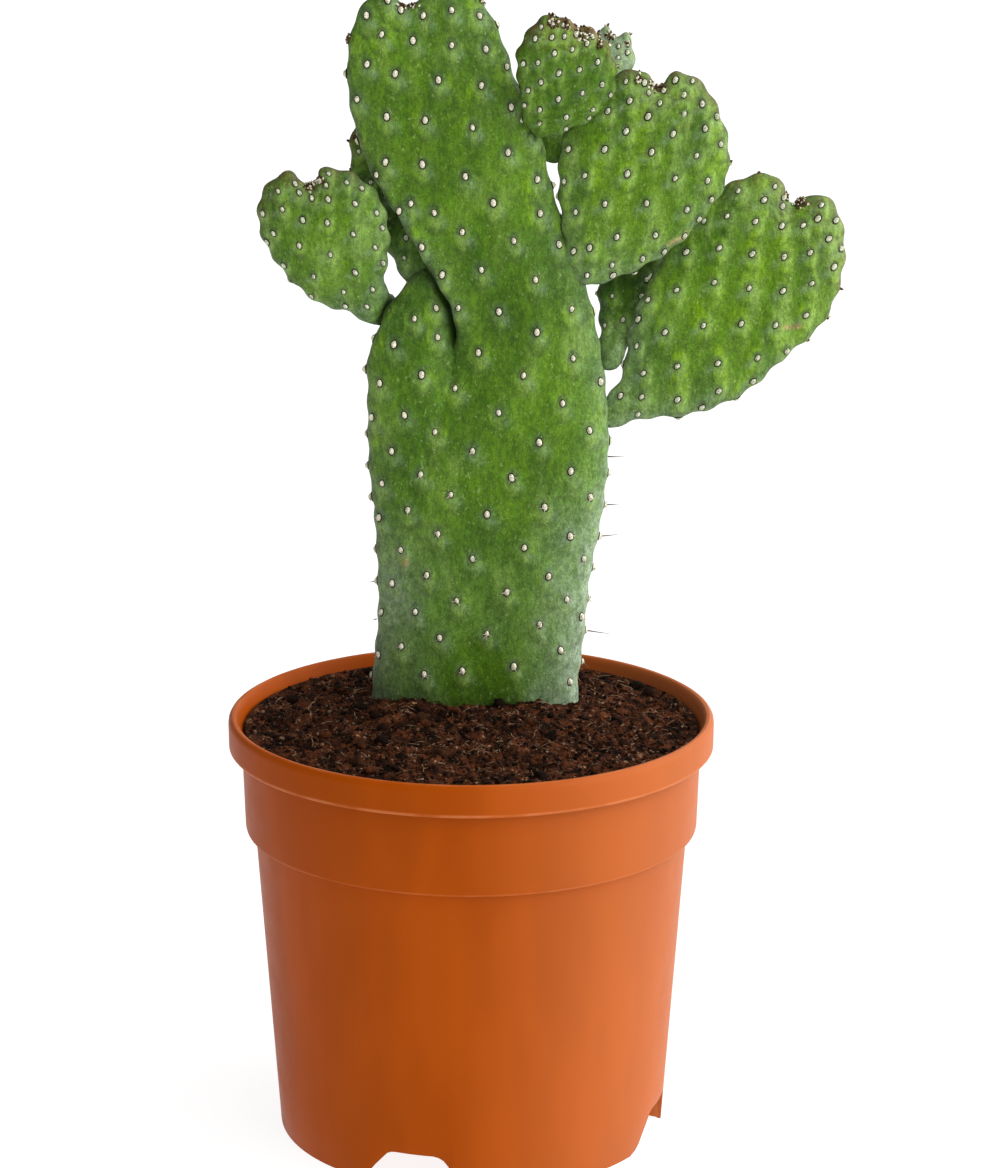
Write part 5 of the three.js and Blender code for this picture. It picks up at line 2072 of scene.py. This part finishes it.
CRUMBS = Litter("soil_crumbs", count=8200, sizes=(0.25, 1.0), flat=(0.5, 1.0), clear=2.0,
                tone=(0.0, 0.92), seed=71)
CLODS = Litter("soil_clods", count=150, sizes=(1.0, 2.8), flat=(0.5, 0.85), clear=5.0,
               tone=(0.1, 0.86), seed=72)
FIBRES = Litter("soil_fibres", count=2600, sizes=(0.8, 3.2), flat=(0.8, 1.2), clear=6.0,
                tone=(0.72, 1.0), seed=73)


def lump_pattern(fineness: int, depth: float, size: float, seed: float) -> Stamp:
    """Models one uneven lump, 1 mm in radius.

    Args:
        fineness: How often the ball's faces are divided.
        depth: How deep its hollows are, as a share of the radius.
        size: The size of its hollows in mm.
        seed: Gives another lump.

    Returns:
        The pattern.
    """
    deselect()
    bpy.ops.mesh.primitive_ico_sphere_add(subdivisions=fineness, radius=1.0)
    piece = bpy.context.object
    spots = places_of(piece)
    move_to(piece, spots * (1 + depth * grain(spots, size, seed))[:, None])
    return Stamp(piece)


def fibre_pattern() -> Stamp:
    """Models one thin wavy fibre, 2 mm long."""
    deselect()
    bpy.ops.mesh.primitive_cylinder_add(vertices=3, radius=0.05, depth=2.0,
                                        rotation=(0, math.pi / 2, 0))
    piece = bpy.context.object
    bpy.ops.object.transform_apply(rotation=True)
    with editing(piece):
        bpy.ops.mesh.subdivide(number_cuts=2)
    spots = places_of(piece)
    spots[:, 1] += 0.25 * np.sin(spots[:, 0] * 2.2)
    spots[:, 2] += 0.12 * np.cos(spots[:, 0] * 1.9)
    move_to(piece, spots)
    return Stamp(piece)


@dataclass
class Soil:
    """Fibrous potting soil: a lumpy bed with loose crumbs and fibres on it.

    Sizes are in mm. A heap is its place across and back, its height and its width.
    """

    axis: Vector
    finishes: Finishes
    edge: float = 79.3
    edge_at: float = 147.0
    mound_at: float = 151.6
    cells: int = 190
    stem_half: Pair = (37.0, 13.0)
    stem_at: Pair = (1.0, 17.0)
    heaps: tuple[Four, ...] = (
        (-20, 1, 2.9, 8), (-34, 8, 0.9, 6), (16, 2, 0.9, 8), (33, 8, -0.9, 7))

    def surface(self, x: np.ndarray, y: np.ndarray) -> np.ndarray:
        """The bed's height in mm, without its fine lumps."""
        r = np.hypot(x, y) / self.edge
        rise = (self.mound_at - self.edge_at) * smooth(1 - r, 0, 0.75)
        waves = (np.sin(x * 0.31 + 1.3) * np.cos(y * 0.27 - 0.4)
                 + 0.7 * np.sin(x * 0.83 - y * 0.61))
        heaped = sum(high * np.exp(-((x - a) ** 2 + (y - b) ** 2) / wide**2)
                     for a, b, high, wide in self.heaps)
        return self.edge_at + rise + heaped + 0.54 * waves * smooth(1 - r, 0, 0.12)

    def rough(self, x: np.ndarray, y: np.ndarray) -> np.ndarray:
        """The bed's fine lumps in mm."""
        spots = np.column_stack([x, y, np.zeros(len(x))])
        clods = np.abs(grain(spots, size=11.0, seed=3.1, octaves=2))
        crumbs = np.abs(grain(spots, size=3.6, seed=7.7))
        r = np.hypot(x, y) / self.edge
        return (2.4 * clods + 1.5 * crumbs - 0.9) * smooth(1 - r, -0.01, 0.05)

    def bed(self) -> bpy.types.Object:
        """Models the bed: a grid bent round, lumped, and closed down to the pot's floor.

        Returns:
            The object.
        """
        deselect()
        bpy.ops.mesh.primitive_grid_add(x_subdivisions=self.cells, y_subdivisions=self.cells,
                                        size=2)
        piece = bpy.context.object
        flat = places_of(piece)
        x = flat[:, 0] * np.sqrt(1 - flat[:, 1] ** 2 / 2) * self.edge
        y = flat[:, 1] * np.sqrt(1 - flat[:, 0] ** 2 / 2) * self.edge
        z = self.surface(x, y) + self.rough(x, y)
        move_to(piece, np.column_stack([x, y, z]) * MM + np.array(self.axis))
        with editing(piece):
            bpy.ops.mesh.select_mode(type="EDGE")
            bpy.ops.mesh.select_all(action="DESELECT")
            bpy.ops.mesh.select_non_manifold(extend=False)
            for drop, k in ((-8.0, 0.994), (-120.0, 0.85)):
                extrude_edges(drop * MM)
                resize((k, k, 1), self.axis)
            bpy.ops.mesh.edge_face_add()
            face_outward()
        piece.data.materials.append(self.finishes.bed)
        return stand_for(settle(piece, "soil_bed"), "soil", Slot.SOIL)

    def _spot(self, draw: random.Random, clear: float) -> tuple[float, float]:
        """Draws a place on the bed that is not inside the stem."""
        while True:
            r = math.sqrt(draw.random()) * (self.edge - clear)
            a = draw.uniform(0, 2 * math.pi)
            x, y = r * math.cos(a), r * math.sin(a)
            wide, deep = self.stem_half
            if ((x - self.stem_at[0]) / wide) ** 2 + ((y - self.stem_at[1]) / deep) ** 2 > 1:
                return x, y

    def _strewn(self, stamp: Stamp, litter: Litter) -> bpy.types.Object:
        """Strews copies of a pattern over the bed.

        Args:
            stamp: The pattern.
            litter: How many copies, how large, and where.

        Returns:
            The object.
        """
        draw = random.Random(litter.seed)
        spots = np.array([self._spot(draw, litter.clear) for _ in range(litter.count)])
        heights = self.surface(spots[:, 0], spots[:, 1]) + self.rough(spots[:, 0], spots[:, 1])
        least, most = litter.sizes
        seats, shades = [], []
        for (x, y), z in zip(spots, heights):
            size = least + (most - least) * draw.random() ** 2.6
            out = direction(np.array([draw.gauss(0, 0.35), draw.gauss(0, 0.35), 1.0]))
            a = draw.uniform(0, 2 * math.pi)
            seats.append(Seat(np.array([x, y, z + size * 0.12]), out,
                              np.array([math.cos(a), math.sin(a), 0.01]), size,
                              draw.uniform(*litter.flat)))
            shades.append(draw.uniform(*litter.tone))
        piece = stamp.copies(litter.name, seats, self.axis, [self.finishes.crumb], shades)
        return stand_for(piece, "soil", Slot.SOIL)

    def litter(self) -> list[bpy.types.Object]:
        """Strews crumbs, clods and fibres.

        Returns:
            The pieces.
        """
        crumb = lump_pattern(fineness=1, depth=0.25, size=0.8, seed=2.0)
        clod = lump_pattern(fineness=2, depth=0.4, size=0.7, seed=5.0)
        return [self._strewn(crumb, CRUMBS), self._strewn(clod, CLODS),
                self._strewn(fibre_pattern(), FIBRES)]


# ---------------------------------------------------------------- studio


@dataclass
class Studio:
    """Plain white floor, soft light from the right, and the camera, in metres and degrees."""

    axis: Vector
    floor_size: float = 60.0
    floor_greys: Pair = (0.24, 0.26)
    floor_glow: float = 0.88
    dark: float = 0.22
    dim: float = 0.59
    bright: float = 2.2
    key: float = 1.78
    key_from: Pair = (72.0, 40.0)
    key_width: float = 80.0
    camera_at: Triple = (0.0, -1.1642, 0.50544)
    down: float = 14.831
    lens: float = 106.91
    shift: Pair = (0.0247, 0.0)

    def build(self) -> None:
        """Lays the floor and sets up light, camera and tone."""
        scene = bpy.context.scene
        deselect()
        bpy.ops.mesh.primitive_plane_add(size=self.floor_size, location=(0, 0, 0))
        floor = bpy.context.object
        floor.name = "studio_floor"
        b = Bench("floor_white")
        under, over = ((grey, grey, grey, 1) for grey in self.floor_greys)
        tint = b.blend(b.cloud(300, 1).between(0.3, 0.7), under, over)
        glow = {"Specular IOR Level": 0.0, "Emission Color": (1, 1, 1, 1),
                "Emission Strength": self.floor_glow}
        floor.data.materials.append(b.finish(tint, 0.9, None, glow))
        self._surround()
        self._key_light()
        camera = bpy.data.objects.new("camera", bpy.data.cameras.new("camera"))
        scene.collection.objects.link(camera)
        x, y, z = self.camera_at
        camera.location = (self.axis.x + x, y, z)
        camera.rotation_euler = (math.radians(90 - self.down), 0, 0)
        camera.data.lens = self.lens
        camera.data.shift_x, camera.data.shift_y = self.shift
        camera.data.clip_start, camera.data.clip_end = 0.05, 100
        scene.camera = camera
        scene.view_settings.view_transform = "Standard"

    def _surround(self) -> None:
        """Surrounds the object with white, brighter on the right like a wide soft box."""
        sky = bpy.data.worlds.new("studio")
        sky.use_nodes = True
        b = Bench("studio", sky.node_tree)
        way = b.node("ShaderNodeTexCoord", output="Generated")
        right = b.along(0, way)
        strength = (right.between(-0.8, 0.1, self.dark, self.dim)
                    + right.between(0.1, 0.95, 0.0, self.bright - self.dim))
        light = b.node("ShaderNodeBackground", {}, {"Color": (1, 1, 1, 1),
                                                    "Strength": strength})
        b.node("ShaderNodeOutputWorld", {}, {"Surface": light})
        bpy.context.scene.world = sky

    def _key_light(self) -> None:
        """Hangs one wide, soft light, round to the right of the camera and above the floor."""
        data = bpy.data.lights.new("key_right", "SUN")
        data.energy = self.key
        data.angle = math.radians(self.key_width)
        light = bpy.data.objects.new("key_right", data)
        bpy.context.scene.collection.objects.link(light)
        a, e = (math.radians(degrees) for degrees in self.key_from)
        way = Vector((math.sin(a) * math.cos(e), -math.cos(a) * math.cos(e), math.sin(e)))
        light.rotation_euler = way.to_track_quat("Z", "Y").to_euler()


def report(pieces: Sequence[bpy.types.Object]) -> None:
    """Logs each finished piece and its size in triangles.

    Args:
        pieces: The finished pieces.
    """
    for piece in pieces:
        piece.data.calc_loop_triangles()
        LOG.info("%s: %d triangles", piece.name, len(piece.data.loop_triangles))


def main() -> None:
    """Builds the pot, the soil, the stem and the paddles in order."""
    logging.basicConfig(level=logging.INFO, format="%(name)s %(message)s")
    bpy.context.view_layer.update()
    low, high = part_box("pot")
    axis = Vector(((low.x + high.x) / 2, (low.y + high.y) / 2, 0.0))
    finishes = Finishes()
    report([Pot(axis, high.z / MM, (high.x - low.x) / 2 / MM, finishes.pot).build()])
    soil = Soil(axis, finishes)
    report([soil.bed(), *soil.litter()])
    plant = Plant(axis, finishes, Patterns())
    stem = Stem(plant, [np.array(form.base) for form in PADDLE_FORMS])
    report(stem.build())
    for form in PADDLE_FORMS:
        report(Paddle(plant, form, stem.lobe).build())
    Studio(axis).build()
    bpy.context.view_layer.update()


if __name__ == "__main__":
    main()
